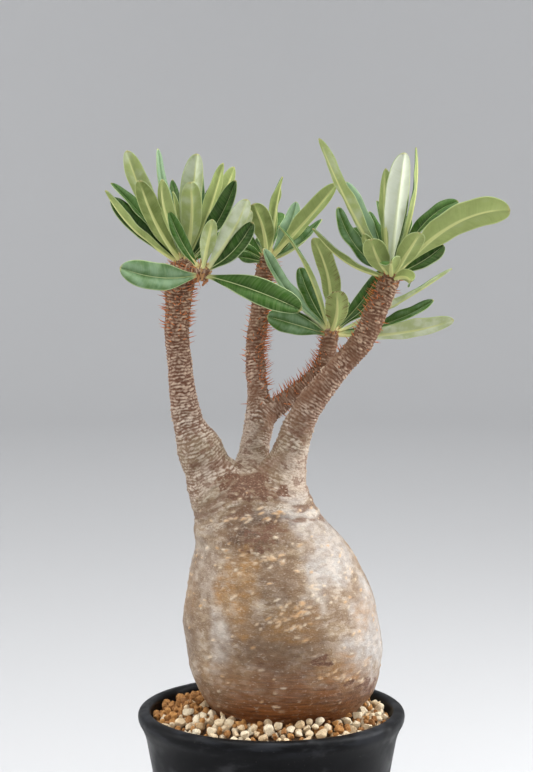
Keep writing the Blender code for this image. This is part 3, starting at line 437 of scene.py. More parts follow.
def scattered(cell, seed=0):
    """A number from 0 to 1 for each cell of a grid, drawn at random but the same in every run."""
    mixed = cell[:, 0] * 73856093 ^ cell[:, 1] * 19349663 ^ cell[:, 2] * 83492791
    mixed = (mixed ^ (seed * 9176 + 131)) & 0xFFFFFFFF
    mixed = ((mixed ^ (mixed >> 15)) * 0x2C1B3C6D) & 0xFFFFFFFF
    mixed = ((mixed ^ (mixed >> 12)) * 0x297A2D39) & 0xFFFFFFFF
    return (mixed ^ (mixed >> 15)) / 4294967296.0


def noise(points, size, seed=0):
    """Smooth noise from -1 to 1 at the points, with features of the given size."""
    spot = np.asarray(points, float) / np.asarray(size, float)
    cell = np.floor(spot).astype(np.int64)
    part = spot - cell
    part = part * part * (3.0 - 2.0 * part)
    total = np.zeros(len(spot))
    for corner in np.ndindex(2, 2, 2):
        value = 2.0 * scattered(cell + np.array(corner), seed) - 1.0
        total += value * np.prod(np.where(corner, part, 1.0 - part), axis=1)
    return total


def crumbs(points, size, seed=0, even=0.5):
    """A pattern of crumbs, one to a cell of the given size: how far each point lies inside its
    crumb's edge, and the crumb's own number from 0 to 1. even is how well they keep in rows."""
    spot = np.asarray(points, float) / np.asarray(size, float)
    cell = np.floor(spot).astype(np.int64)
    first, second = np.full(len(spot), 9.0), np.full(len(spot), 9.0)
    own = np.zeros(len(spot))
    for offset in np.ndindex(3, 3, 3):
        near = cell + np.array(offset) - 1
        place = np.column_stack([scattered(near, seed + k) for k in (1, 2, 3)])
        place[:, 2] = 0.5 + (place[:, 2] - 0.5) * (1.0 - even)
        apart = np.linalg.norm(spot - near - place, axis=1)
        nearer = apart < first
        second = np.where(nearer, first, np.minimum(second, apart))
        own = np.where(nearer, scattered(near, seed + 4), own)
        first = np.where(nearer, apart, first)
    return second - first, own


def rough(points, size, seed=0, octaves=3):
    """Noise with finer noise on it."""
    size = np.asarray(size, float)
    return sum(noise(points, size / 2**k, seed + k) / 2**k for k in range(octaves))


def smoothstep(low, high, value):
    """0 below low, 1 above high, and smooth between them."""
    share = np.clip((value - low) / (high - low), 0.0, 1.0)
    return share * share * (3.0 - 2.0 * share)


def smooth_rows(rows, positions):
    """Catmull-Rom interpolation of equally weighted rows, at positions from 0 to 1."""
    rows = np.array(rows, float)
    padded = np.vstack([2 * rows[0] - rows[1], rows, 2 * rows[-1] - rows[-2]])
    at = np.clip(np.asarray(positions, float), 0.0, 1.0) * (len(rows) - 1)
    index = np.minimum(at.astype(int), len(rows) - 2)
    t = (at - index)[:, None]
    a, b, c, d = (padded[index + k] for k in range(4))
    return 0.5 * (2 * b + (c - a) * t + (2 * a - 5 * b + 4 * c - d) * t**2
                  + (3 * b - a - 3 * c + d) * t**3)


def unit(vectors):
    """The vectors, each brought to length 1."""
    return vectors / np.maximum(np.linalg.norm(vectors, axis=-1, keepdims=True), 1e-12)


class Line:
    """A limb's middle line, with points an even step apart: the place, radius and direction at
    each, and the measure along the line."""

    def __init__(self, rows, step):
        dense = smooth_rows(rows, np.linspace(0.0, 1.0, 60 * len(rows)))
        gone = np.concatenate([[0.0], np.cumsum(np.linalg.norm(np.diff(dense[:, :3], axis=0), axis=1))])
        at = np.linspace(0.0, gone[-1], max(3, round(gone[-1] / step) + 1))
        rows = np.column_stack([np.interp(at, gone, dense[:, k]) for k in range(4)])
        self.places, self.radii = rows[:, :3], rows[:, 3]
        self.directions = unit(np.gradient(self.places, axis=0))
        self.along = at

    def starting_at(self, measure):
        """The same line, with its measure moved to start at a value."""
        self.along = self.along - self.along[0] + measure
        return self

    def cut(self, keep):
        """The part of the line where keep is true."""
        part = object.__new__(Line)
        for name in ("places", "radii", "directions", "along"):
            setattr(part, name, getattr(self, name)[keep])
        return part


def nearest_on(points, line):
    """The distance from the line's skin at each point, and the measure along the line there."""
    distance, along = np.empty(len(points)), np.empty(len(points))
    for start in range(0, len(points), 8000):
        some = points[start:start + 8000]
        apart = some[:, None, :] - line.places[None]
        gaps = np.linalg.norm(apart, axis=2) - line.radii
        best = gaps.argmin(axis=1)
        rows = np.arange(len(some))
        distance[start:start + 8000] = gaps[rows, best]
        beyond = (apart[rows, best] * line.directions[best]).sum(axis=1)
        along[start:start + 8000] = line.along[best] + beyond
    return distance, along


CAUDEX = smooth_rows(CAUDEX_ROWS, np.linspace(0.0, 1.0, 400))
CAUDEX[:, 0] = np.maximum.accumulate(CAUDEX[:, 0])
CAUDEX[:, 2] = np.maximum(CAUDEX[:, 2], 0.0)


def caudex_at(height):
    """The middle in x, the half width and the depth share of the caudex at heights."""
    return [np.interp(height, CAUDEX[:, 0], CAUDEX[:, k]) for k in (1, 2, 3)]


def caudex_lump(angle, height):
    """The low lumps of the caudex, as a change of its radius."""
    return sum(
        size * np.sin(number * angle + turn * height + start)
        for size, number, turn, start in CAUDEX_LUMPS
    )


def outline_distance():
    """A table of distances from the caudex's outline, over radius and height."""
    outline = CAUDEX[::2, (2, 0)]
    radii = np.arange(0.0, TABLE_RADIUS, TABLE_CELL)
    heights = np.arange(TABLE_LOW, TABLE_HIGH, TABLE_CELL)
    spots = np.stack(np.meshgrid(radii, heights, indexing="ij"), axis=-1).reshape(-1, 2)
    best = np.full(len(spots), np.inf)
    for first, second in zip(outline[:-1], outline[1:]):
        step = second - first
        share = np.clip((spots - first) @ step / max(step @ step, 1e-9), 0.0, 1.0)
        best = np.minimum(best, np.linalg.norm(spots - first - share[:, None] * step, axis=1))
    wide = np.interp(spots[:, 1], CAUDEX[:, 0], CAUDEX[:, 2], left=-1.0, right=-1.0)
    best = np.where(spots[:, 0] < wide, -best, best)
    return best.reshape(len(radii), len(heights))


OUTLINE_TABLE = outline_distance()


def caudex_distance(points):
    """The distance from the caudex's skin at each point."""
    x, y, z = points.T
    middle, width, depth = caudex_at(z)
    radius = np.hypot(x - middle, y / depth)
    rows, columns = OUTLINE_TABLE.shape
    across = np.clip(radius / TABLE_CELL, 0.0, rows - 1.001)
    up = np.clip((z - TABLE_LOW) / TABLE_CELL, 0.0, columns - 1.001)
    i, j = across.astype(int), up.astype(int)
    u, v = across - i, up - j
    low = OUTLINE_TABLE[i, j] * (1 - u) + OUTLINE_TABLE[i + 1, j] * u
    high = OUTLINE_TABLE[i, j + 1] * (1 - u) + OUTLINE_TABLE[i + 1, j + 1] * u
    out = low * (1 - v) + high * v
    return out - caudex_lump(np.arctan2(y, x - middle), z) * np.minimum(1.0, width / LUMPS_FULL)


def melted(first, second, reach=FLARE):
    """The union of two solids given by distance, with a smooth flare where they meet."""
    near = np.maximum(reach - np.abs(first - second), 0.0) / reach
    return np.minimum(first, second) - near * near * reach / 4.0


def stem_field(points, lines):
    """The distance from the stem's skin, how far up the plant each point lies along its own limb,
    and how much of a limb it is, from 0 on the caudex to 1."""
    parts = [(caudex_distance(points), points[:, 2])] + [nearest_on(points, line) for line in lines]
    knob = np.linalg.norm(points - np.array(KNOB[:3]), axis=1) - KNOB[3]
    gaps = np.array([distance for distance, _ in parts])
    base = melted(gaps[0], knob, 3.0)
    total = base
    for number, gap in enumerate(gaps[1:], 1):
        total = np.minimum(total, melted(base, gap))
        for other in gaps[number + 1:]:
            total = np.minimum(total, melted(gap, other, FORK_FLARE))
    weights = np.exp(-(gaps - gaps.min(axis=0)) / 2.5)
    weights /= weights.sum(axis=0)
    measure = (weights * np.array([along for _, along in parts])).sum(axis=0)
    return total, measure, 1.0 - weights[0]


def ring_relief(grain, limb_share):
    """The height of the bark's flakes and how near each point is to a crest, from the straightened
    place of each point: x, y and the measure along its limb. The flakes lie in broken rings."""
    bent = grain.copy()
    bent[:, 2] += 0.9 * noise(grain, (6.0, 6.0, 7.0), 3) + 0.35 * noise(grain, (2.2, 2.2, 3.0), 4)
    inside, own = crumbs(bent, (2.3, 2.3, RING_PITCH), 5, 0.55)
    flake = smoothstep(-0.05, 0.36, inside) * (0.25 + 0.75 * own)
    fine = noise(grain, (1.1, 1.1, 0.45), 9) + 0.6 * noise(grain, (0.6, 0.6, 0.4), 10)
    ring = 0.5 + 0.5 * np.cos(math.tau * (bent[:, 2] / RING_PITCH - 0.5))
    crest = np.clip(0.48 * flake + 0.30 * ring + 0.26 * fine + 0.07, 0.0, 1.0)
    height = RING_HEIGHT * (crest - 0.42) * 2.0 * (1.0 + 0.3 * noise(grain, 5.0, 12))
    ringed = smoothstep(0.25, 0.85, limb_share) * (0.30 + 0.70 * smoothstep(188.0, 210.0, grain[:, 2]))
    on_neck = 0.20 * smoothstep(162.0, 174.0, grain[:, 2])
    return height * np.maximum(0.10 + 0.90 * ringed, on_neck), crest


def mesh_piece(name, points, faces, materials, slots=None):
    """A smooth-shaded mesh object, from points in millimetres and a list or an array of faces.
    slots gives the number of each face's material."""
    mesh = bpy.data.meshes.new(name)
    mesh.vertices.add(len(points))
    mesh.vertices.foreach_set("co", (np.asarray(points) * MM).astype(np.float32).ravel())
    sizes = np.array([len(face) for face in faces])
    corners = np.concatenate(faces)
    mesh.loops.add(len(corners))
    mesh.loops.foreach_set("vertex_index", corners.astype(np.int32))
    mesh.polygons.add(len(sizes))
    mesh.polygons.foreach_set("loop_start", (np.cumsum(sizes) - sizes).astype(np.int32))
    for material in materials:
        mesh.materials.append(material)
    if slots is not None:
        mesh.polygons.foreach_set("material_index", np.asarray(slots, np.int32))
    mesh.update(calc_edges=True)
    mesh.validate()
    mesh.shade_smooth()
    made = bpy.data.objects.new(name, mesh)
    bpy.context.scene.collection.objects.link(made)
    return made


def add_values(piece, name, values):
    """Keeps one number or vector for each point of a piece, for its material to read."""
    values = np.asarray(values, np.float32)
    kind, key = ("FLOAT", "value") if values.ndim == 1 else ("FLOAT_VECTOR", "vector")
    attribute = piece.data.attributes.new(name, kind, "POINT")
    attribute.data.foreach_set(key, values.ravel())


def placed(piece, slot, *nodes):
    """Rides a piece on the plant's one body, in place of the CAD nodes named. The slot is not used."""
    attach(piece, "root")
    if nodes:
        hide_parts(*nodes)
    return piece


def read_mesh(thing):
    """An object's evaluated points in millimetres, and its faces, which are all quads."""
    bpy.context.view_layer.update()
    mesh = thing.evaluated_get(bpy.context.evaluated_depsgraph_get()).to_mesh()
    points = np.empty(len(mesh.vertices) * 3, np.float32)
    mesh.vertices.foreach_get("co", points)
    corners = np.empty(len(mesh.loops), np.int32)
    mesh.loops.foreach_get("vertex_index", corners)
    quads = corners.reshape(-1, 4).copy()
    thing.to_mesh_clear()
    return points.reshape(-1, 3).astype(float) / MM, quads


def point_normals(points, quads):
    """The normal at each point of a mesh of quads."""
    a, b, c, d = (points[quads[:, k]] for k in range(4))
    face = np.cross(c - a, d - b)
    total = np.zeros_like(points)
    for k in range(4):
        np.add.at(total, quads[:, k], face)
    return unit(total)


def eased(points, quads, rounds, share=0.5):
    """The points moved towards the middle of their neighbours, a few times."""
    ends = np.concatenate([quads[:, (k, (k + 1) % 4)] for k in range(4)])
    count = np.bincount(ends.ravel(), minlength=len(points))[:, None]
    for _ in range(rounds):
        total = np.zeros_like(points)
        np.add.at(total, ends[:, 0], points[ends[:, 1]])
        np.add.at(total, ends[:, 1], points[ends[:, 0]])
        points = points + share * (total / count - points)
    return points


def ring_frames(line):
    """Two directions across the line at each of its points, which don't twist along it."""
    first = np.empty_like(line.places)
    across = np.cross(line.directions[0], (0.0, 1.0, 0.0))
    for number, direction in enumerate(line.directions):
        across = across - direction * (across @ direction)
        across = across / np.linalg.norm(across)
        first[number] = across
    return first, np.cross(line.directions, first)


def ring_faces(rings, sides):
    """The faces of a tube of rings of points: its quads, and the triangles that close it round two
    end points, whose numbers come after the rings' own."""
    number = np.arange(rings * sides).reshape(rings, sides)
    beside = np.roll(number, -1, axis=1)
    quads = np.stack([number[:-1], beside[:-1], beside[1:], number[1:]], axis=-1).reshape(-1, 4)
    low, high = rings * sides, rings * sides + 1
    caps = [(low, b, a) for a, b in zip(number[0], beside[0])]
    caps += [(high, a, b) for a, b in zip(number[-1], beside[-1])]
    return quads, caps


def turned(rings, sides):
    """The points of rings round the Z axis, each given by its radius and height."""
    turn = np.linspace(0.0, math.tau, sides, endpoint=False)
    radii, heights = np.array(rings)[:, :1], np.array(rings)[:, 1:]
    grid = np.broadcast_arrays(radii * np.cos(turn), radii * np.sin(turn), heights)
    return np.stack(grid, axis=-1).reshape(-1, 3)


def tube_mesh(line, sides):
    """A tube round a line, closed round a point at each end: its points, quads and end triangles,
    and the ring of each point but the two end points."""
    first, second = ring_frames(line)
    turn = np.linspace(0.0, math.tau, sides, endpoint=False)
    circle = np.cos(turn)[None, :, None] * first[:, None] + np.sin(turn)[None, :, None] * second[:, None]
    rings = line.places[:, None] + circle * line.radii[:, None, None]
    count = len(line.places)
    points = np.vstack([rings.reshape(-1, 3), line.places[0], line.places[-1]])
    return points, *ring_faces(count, sides), np.repeat(np.arange(count), sides)


def stem_lines():
    """The middle line of each limb, up through its growth point, and of the left limb's short
    branch. Each has its measure set so that the rings of limbs that meet agree."""
    lines = {}
    for name, rows in LIMBS.items():
        head = HEADS[ROSETTES[name][0]]
        middle = np.array(head.middle)
        top = middle + unit(np.array(head.axis)) * CROWN_RISE
        radius = rows[-1][3]
        rows = [*rows, (*middle, 0.86 * radius), (*top, 0.42 * radius)]
        lines[name] = Line(rows, LIMB_STEP)
    for line in lines.values():
        at = np.interp(LIMB_EXIT, line.places[:, 2], line.along)
        line.along = line.along - at + LIMB_EXIT
    fork = lines["centre"]
    fork_at = np.interp(LIMBS["middle"][0][2], fork.places[:, 2], fork.along)
    lines["middle"].starting_at(fork_at)
    first, other = HEADS["left"], HEADS["left_front"]
    root = np.array(first.middle) - unit(np.array(first.axis)) * BRANCH_DEPTH
    middle = np.array(other.middle)
    top = middle + unit(np.array(other.axis)) * CROWN_RISE
    rows = [(*root, BRANCH_RADII[0]), (*((root + middle) / 2), BRANCH_RADII[1]),
            (*middle, BRANCH_RADII[2]), (*top, 1.3)]
    lines["branch"] = Line(rows, LIMB_STEP).starting_at(BRANCH_START)
    return lines


def caudex_shell(heights, sides, foot=1.0):
    """Level rings round the caudex: their points, the quads between them and the two end faces. The
    lowest ring has the given share of its width."""
    middle, width, depth = caudex_at(heights)
    width[0] *= foot
    turn = np.linspace(0.0, math.tau, sides, endpoint=False)
    x = middle[:, None] + width[:, None] * np.cos(turn)
    y = (width * depth)[:, None] * np.sin(turn)
    z = np.broadcast_to(heights[:, None], x.shape)
    quads, _ = ring_faces(len(heights), sides)
    ends = [list(range(sides))[::-1], list(range(x.size - sides, x.size))]
    return np.stack([x, y, z], axis=-1).reshape(-1, 3), quads, ends


def neck_solids(feet):
    """The rough closed solids whose union is the neck: the caudex's top, the feet of the limbs and
    the left limb's knob, as one list of points and one of faces."""
    sets, faces, start = [], [], 0
    for line in feet:
        points, quads, caps, _ = tube_mesh(line.cut(slice(None, None, 3)), 28)
        sets.append((points, [*quads.tolist(), *caps]))
    heights = np.append(np.arange(NECK_LOW, 184.0, 2.0), (184.0, 185.6))
    points, quads, ends = caudex_shell(heights, 60, 0.9)
    sets.append((points, [*quads.tolist(), *ends]))
    shape = bmesh.new()
    bmesh.ops.create_icosphere(shape, subdivisions=3, radius=KNOB[3])
    shape.verts.index_update()
    knob = np.array([vertex.co for vertex in shape.verts]) + np.array(KNOB[:3])
    sets.append((knob, [[vertex.index for vertex in face.verts] for face in shape.faces]))
    shape.free()
    for points, polygons in sets:
        faces.extend([[corner + start for corner in polygon] for polygon in polygons])
        start += len(points)
    return np.vstack([points for points, _ in sets]), faces


def on_skin(points, quads, lines, free):
    """The points that are free to move, drawn onto the stem's skin, and the normals there."""
    for _ in range(4):
        distance, _, _ = stem_field(points, lines)
        pull = np.where(free, np.clip(distance, -2.5, 2.5), 0.0)
        points = points - point_normals(points, quads) * pull[:, None]
        points = np.where(free[:, None], eased(points, quads, 1), points)
    distance, _, _ = stem_field(points, lines)
    normals = point_normals(points, quads) * free[:, None]
    return points - normals * distance[:, None], normals


def stem_piece(name, points, normals, faces, lines, tuck, middles, bark):
    """A piece of the stem: smooth skin raised into flakes, folds and crusts."""
    _, measure, limb_share = stem_field(points, lines)
    grain = np.column_stack([points[:, :2], measure])
    height, crest = ring_relief(grain, limb_share)
    body = 1.0 - smoothstep(0.15, 0.7, limb_share)
    bump, tint = crusts(points, middles)
    relief, fold = caudex_relief(points, grain, body)
    areas = {kind: area(points, kind) for kind in AREAS}
    points = points + normals * (height + relief + 0.42 * bump - TUCK * tuck)[:, None]
    piece = mesh_piece(name, points, faces, [bark])
    add_values(piece, "grain", grain)
    add_values(piece, "skin", np.column_stack([crest, limb_share, bump]))
    add_values(piece, "areas", np.column_stack([areas["brown"], areas["ochre"], areas["silver_and_highlight"]]))
    add_values(piece, "marks", np.column_stack([areas["rust"], tint, fold]))
    return placed(piece, "bark", "caudex_and_limbs")


def make_body(feet, middles, bark):
    """The caudex up to its neck, with its hidden root, as a fine turned grid."""
    visible = np.arange(HIDDEN_BODY[-1] + 2 * BODY_STEP, BODY_HIGH, BODY_STEP)
    points, quads, ends = caudex_shell(np.concatenate([HIDDEN_BODY, visible]), BODY_SIDES)
    points, normals = on_skin(points, quads, feet, np.ones(len(points), bool))
    tuck = smoothstep(SEAM, SEAM + SEAM_OVERLAP, points[:, 2])
    faces = [*quads.tolist(), *ends]
    stem_piece("caudex", points, normals, faces, feet, tuck, middles, bark)


def make_neck(feet, middles, bark):
    """The top of the caudex with the feet of its limbs, remeshed as one skin."""
    rough_stem = mesh_piece("rough_stem", *neck_solids(feet), [])
    remesh = rough_stem.modifiers.new("Remesh", "REMESH")
    remesh.mode = "VOXEL"
    remesh.voxel_size = NECK_VOXEL * MM
    points, quads = read_mesh(rough_stem)
    bpy.data.objects.remove(rough_stem)
    free = points[:, 2] > NECK_LOW + 0.8
    points, normals = on_skin(points, quads, feet, free)
    tuck = smoothstep(SEAM, SEAM - SEAM_OVERLAP, points[:, 2])
    for line in feet:
        near, along = nearest_on(points, line)
        inside = smoothstep(line.along[-1] - CUT_OVERLAP, line.along[-1], along)
        tuck = np.maximum(tuck, np.where(near < 1.0, inside, 0.0))
    stem_piece("neck", points, normals, quads, feet, tuck, middles, bark)


def skin_places(starts, ways, lines):
    """Where rays from inside the stem meet its skin."""
    near, far = np.zeros(len(starts)), np.full(len(starts), 60.0)
    for _ in range(16):
        middle = (near + far) / 2
        distance, _, _ = stem_field(starts + ways * middle[:, None], lines)
        near, far = np.where(distance < 0, middle, near), np.where(distance < 0, far, middle)
    return starts + ways * near[:, None]


def crust_middles(lines):
    """The middles of the small crusts: in rows at the front, and scattered all round."""
    draw = random.Random(BUMP_SEED)
    starts, ways = [], []
    for x_from, z_from, x_to, z_to, count in BUMP_LINES:
        for _ in range(count):
            share = draw.random()
            x = x_from + (x_to - x_from) * share + draw.gauss(0.0, 0.7)
            z = z_from + (z_to - z_from) * share + draw.gauss(0.0, 0.7)
            starts.append((x, -1.0, z))
            ways.append((0.0, -1.0, 0.0))
    for _ in range(BUMPS_SCATTERED):
        height, turn = draw.uniform(96.0, 182.0), draw.uniform(0.0, math.tau)
        starts.append((float(caudex_at(height)[0]), 0.0, height))
        ways.append((math.cos(turn), math.sin(turn), 0.0))
    return skin_places(np.array(starts), np.array(ways), lines)


def make_caudex(lines, bark):
    """The caudex and the feet of its limbs."""
    feet = [line.cut(line.places[:, 2] <= LIMB_CUTS[name]) for name, line in lines.items()
            if name in LIMB_CUTS]
    middles = crust_middles(feet)
    make_body(feet, middles, bark)
    make_neck(feet, middles, bark)


def area(points, kind):
    """How much of a colour area each point of the caudex is: as seen at the front, and clouds of
    the same kind drawn at random at the back."""
    x, y, z = points.T
    total = np.zeros(len(points))
    ragged = 0.42 * rough(points, 8.0, 71, 4)
    for middle, height, half_width, half_height, strength in AREAS[kind]:
        off = np.hypot((x - middle) / half_width, (z - height) / half_height) + ragged
        total = np.maximum(total, strength * smoothstep(1.30, 0.65, off))
    seed, limit = BACK_CLOUDS[kind]
    clouds = 0.8 * smoothstep(limit, limit + 0.4, rough(points, (17.0, 17.0, 14.0), seed))
    front = smoothstep(4.0, -8.0, y)
    return total * front + clouds * (1.0 - front)


def crusts(points, middles):
    """The small raised crusts: how much of one each point is, and the tint of each."""
    draw = random.Random(BUMP_SEED + 1)
    bump, tint = np.zeros(len(points)), np.zeros(len(points))
    for middle in middles:
        long, short = draw.uniform(0.7, 1.8), draw.uniform(0.38, 0.75)
        slope, own = draw.uniform(-0.2, 0.5), draw.random()
        full = draw.uniform(0.5, 1.0)
        apart = points - middle
        near = np.flatnonzero(np.abs(apart).max(axis=1) < 2.6)
        if not len(near):
            continue
        apart = apart[near]
        sideways = np.hypot(apart[:, 0], apart[:, 1]) * np.sign(apart[:, 0])
        off = np.hypot(sideways / long, (apart[:, 2] - slope * sideways) / short)
        weight = smoothstep(1.15, 0.3, off) * full
        tint[near] = np.where(weight > bump[near], own, tint[near])
        bump[near] = np.maximum(bump[near], weight)
    return bump, tint


def caudex_relief(points, grain, body):
    """The height of the striations, dents and neck folds of the caudex, and how much of a fold's
    valley each point is, from -1 on a fold's back to 1."""
    striae = 0.06 * rough(grain, (7.0, 7.0, 1.2), 21) + 0.16 * rough(grain, (13.0, 13.0, 5.0), 25)
    x, _, z = points.T
    neck = smoothstep(160.0, 171.0, z) * (1.0 - smoothstep(190.0, 206.0, z))
    leaning = grain.copy()
    leaning[:, 2] -= 0.10 * x - 0.00625 * x**2
    fold = neck * (0.8 * noise(leaning, (13.0, 13.0, 2.6), 31)
                   + 0.6 * noise(leaning, (5.0, 5.0, 1.2), 33)
                   + 0.3 * noise(leaning, (2.0, 2.0, 0.9), 35))
    dents = -0.35 * smoothstep(0.35, 0.75, noise(points, (3.2, 3.2, 2.2), 45)) * smoothstep(118.0, 96.0, z)
    peel = 0.07 * noise(grain, (2.6, 2.6, 1.1), 47)
    return (striae + dents + peel) * body - 0.42 * fold, fold


def make_limbs(lines, bark):
    """The limbs above the caudex's own mesh, ringed and flaked, up to their growth points."""
    for name, line in lines.items():
        if name in LIMB_CUTS:
            start = np.interp(LIMB_CUTS[name], line.places[:, 2], line.along) - CUT_OVERLAP
            line = line.cut(line.along >= start)
        sides = round(math.tau * line.radii.max() / LIMB_SIDE)
        points, quads, caps, rings = tube_mesh(line, sides)
        skin = points[:-2]
        centre = line.places[rings]
        out = unit(skin - centre)
        grain = np.column_stack([skin[:, :2], line.along[rings]])
        height, crest = ring_relief(grain, np.ones(len(skin)))
        foot = 1.0 - smoothstep(0.0, CUT_OVERLAP, line.along[rings] - line.along[0])
        lumps = 0.30 * noise(grain, (7.0, 7.0, 6.0), 51)
        points[:-2] = skin + out * (height + lumps * (1 - foot) - TUCK * foot)[:, None]
        faces = [*quads.tolist(), *caps]
        piece = mesh_piece("limb_" + name, points, faces, [bark])
        grain = np.vstack([grain, grain[:1], grain[-1:]])
        add_values(piece, "grain", grain)
        crest = np.append(crest, (0.5, 0.5))
        ones = np.ones(len(points))
        add_values(piece, "skin", np.column_stack([crest, ones, 0.0 * ones]))
        placed(piece, "bark")


def spine_scars(line, apart):
    """The scars that wind round a limb in a spiral, from its foot up: the number of the line's
    point beside each, and the way out through it."""
    first, second = ring_frames(line)
    rise = apart**2 / (math.tau * line.radii.mean())
    measure, number = line.along[0], 0
    while measure < line.along[-1] - 3.0:
        measure += rise
        number += 1
        at = int(np.searchsorted(line.along, measure))
        turn = number * GOLDEN_ANGLE
        yield at, math.cos(turn) * first[at] + math.sin(turn) * second[at]


def spine_points(root, aim, bend, along):
    """The rings of points of one spine, from its root to its point."""
    level = np.array(SPINE_LEVELS)[:, None, None]
    turn = np.linspace(0.0, math.tau, SPINE_SIDES, endpoint=False)[:, None]
    wide = unit(np.cross(aim, along))
    high = np.cross(unit(aim), wide)
    radius = SPINE_RADIUS * (1.0 - level) ** 0.8 + SPINE_POINT
    middle = root + aim * level + bend * level**2
    return (middle + (wide * np.cos(turn) + high * np.sin(turn)) * radius).reshape(-1, 3)


def drawn_spines(draw, line, apart, first_height, full_height, side, elsewhere):
    """A limb's spines, a pair to each scar. The younger and better sheltered ones have lasted."""
    side = unit(np.array(side))
    for at, out in spine_scars(line, apart):
        along = line.directions[at]
        across = np.cross(along, out)
        lasting = float(smoothstep(first_height, full_height, line.places[at, 2]))
        lasting *= elsewhere + (1.0 - elsewhere) * max(0.0, out @ side)
        for way in (-1.0, 1.0):
            if draw.random() > lasting:
                continue
            aim = unit(out + across * way * SPINE_SPLAY + along * draw.uniform(0.0, 0.45))
            bend = along * draw.uniform(-0.05, 0.25) + across * draw.uniform(-0.15, 0.15)
            length = draw.uniform(*SPINE_LENGTH) * (0.75 + 0.25 * lasting)
            root = line.places[at] + out * (line.radii[at] - SPINE_ROOT) + across * way * 0.25
            yield spine_points(root, aim * length, bend * length, along), draw.random()


def make_spines(lines, material):
    """The spines of all limbs. Each point keeps its level along the spine and the spine's own
    number from 0 to 1."""
    draw = random.Random(SPINE_SEED)
    spines = [spine for name, habit in SPINES.items() for spine in drawn_spines(draw, lines[name], *habit)]
    quads, _ = ring_faces(len(SPINE_LEVELS), SPINE_SIDES)
    corners = np.arange(len(SPINE_LEVELS) * SPINE_SIDES)
    one = np.vstack([quads, corners[:SPINE_SIDES][::-1], corners[-SPINE_SIDES:]])
    faces = np.vstack([one + number * len(corners) for number in range(len(spines))])
    piece = mesh_piece("spines", np.vstack([points for points, _ in spines]), faces, [material])
    level = np.repeat(SPINE_LEVELS, SPINE_SIDES)
    values = [np.column_stack([level, np.full(len(level), own), 0.0 * level]) for _, own in spines]
    add_values(piece, "place", np.vstack(values))
    return placed(piece, "bark")


def blade_width(shares, blunt):
    """A blade's width along its length, as a share of its greatest width: a narrow foot, a broad
    middle, and a tip from pointed at 0 to round at 1."""
    foot = 0.16 + 0.84 * smoothstep(-0.02, 0.52, shares)
    start = 0.50 + 0.18 * blunt
    beyond = np.clip((shares - start) / (1.0 - start), 0.0, 1.0)
    tip = np.maximum(1.0 - beyond ** (1.9 + 0.5 * blunt), 0.0) ** (0.72 - 0.22 * blunt)
    return foot * np.maximum(tip, 0.05)


def leaf_frame(leaf, head, shares, tip_curl=0.0):
    """The rib of a leaf, and the directions along it, out of its upper face and to its side."""
    middle, axis = np.array(head.middle), unit(np.array(head.axis))
    reach = np.array(leaf.reach)
    outward = unit(reach - axis * (reach @ axis))
    steepness = reach @ axis / np.linalg.norm(reach)
    root = middle + outward * LEAF_ROOT_OUT + axis * LEAF_ROOT_RISE * (steepness - LEVEL_STEEPNESS)
    tip = middle + reach
    bend = (root + tip) / 2 + np.array(leaf.bow) * 2
    s = shares[:, None]
    rib = root * (1 - s) ** 2 + bend * 2 * s * (1 - s) + tip * s**2
    along = unit((bend - root) * (1 - s) + (tip - bend) * s)
    turn = np.radians(leaf.turn + leaf.twist * shares**2)
    turn = (-turn if leaf.reach[0] > 0 else turn)[:, None]
    facing = unit(FRONT - along * (along @ FRONT)[:, None])
    upper = facing * np.cos(turn) + np.cross(along, facing) * np.sin(turn)
    return rib + upper * tip_curl * s**5, upper, np.cross(upper, along)


def leaf_blade(leaf, head, seed, shares, columns):
    """The middle surface of a leaf, as a grid of points: folded at the rib, with arched halves and
    waved edges."""
    draw = random.Random(seed)
    length = np.linalg.norm(leaf.reach)
    size = min(length / 30.0, 1.0)
    rib, upper, side = leaf_frame(leaf, head, shares, draw.uniform(-1.4, 1.4) * size)
    blunt = min(max(0.75 + (leaf.width - 7.0) / 6.0 + draw.uniform(-0.15, 0.2), 0.4), 1.0)
    half = (blade_width(shares, blunt) * leaf.width / 2)[:, None, None]
    s, across = shares[:, None, None], np.array(columns)[None, :, None]
    fold = math.radians(leaf.fold + draw.uniform(-3.0, 5.0))
    fold = fold + (BASE_FOLD - fold) * (1 - s) ** 3
    spots = np.stack(np.broadcast_arrays(
        s[..., 0] * length, np.sign(across[..., 0]) * 12.0, np.full((1, 1), seed * 5.3)
    ), axis=-1).reshape(-1, 3)
    edge = 1.15 * size * noise(spots, (6.5, 1.0, 1.0), 61).reshape(len(shares), -1, 1)
    ripple = leaf.wave * np.sin(math.tau * RIPPLES * s + across)
    crease = np.sqrt(across**2 + 0.005) - math.sqrt(0.005)
    arch = 0.17 * half * np.sin(math.pi * np.abs(across)) * (1.0 - (1.0 - s) ** 3)
    wave = across**2 * (ripple + edge) * np.sin(math.pi * s**0.9)
    rise = crease * half * np.sin(fold) + arch + wave
    return rib[:, None] + side[:, None] * across * half * np.cos(fold) + upper[:, None] * rise, half


def blade_faces(rows, width):
    """The faces of a closed blade whose upper and lower sides are grids of points, the lower after
    the upper: those of the upper side, of the lower side and of the rim."""
    number = np.arange(rows * width).reshape(rows, width)
    a, b, c, d = number[:-1, :-1], number[:-1, 1:], number[1:, 1:], number[1:, :-1]
    quads = np.stack([a, b, c, d], axis=-1).reshape(-1, 4)
    rim = np.concatenate([number[:, 0], number[-1, 1:], number[-2::-1, -1], number[0, -2:0:-1]])
    beside = np.roll(rim, -1)
    edge = np.stack([rim, beside, beside + number.size, rim + number.size], axis=-1)
    return quads[:, ::-1], quads + number.size, edge[:, ::-1]


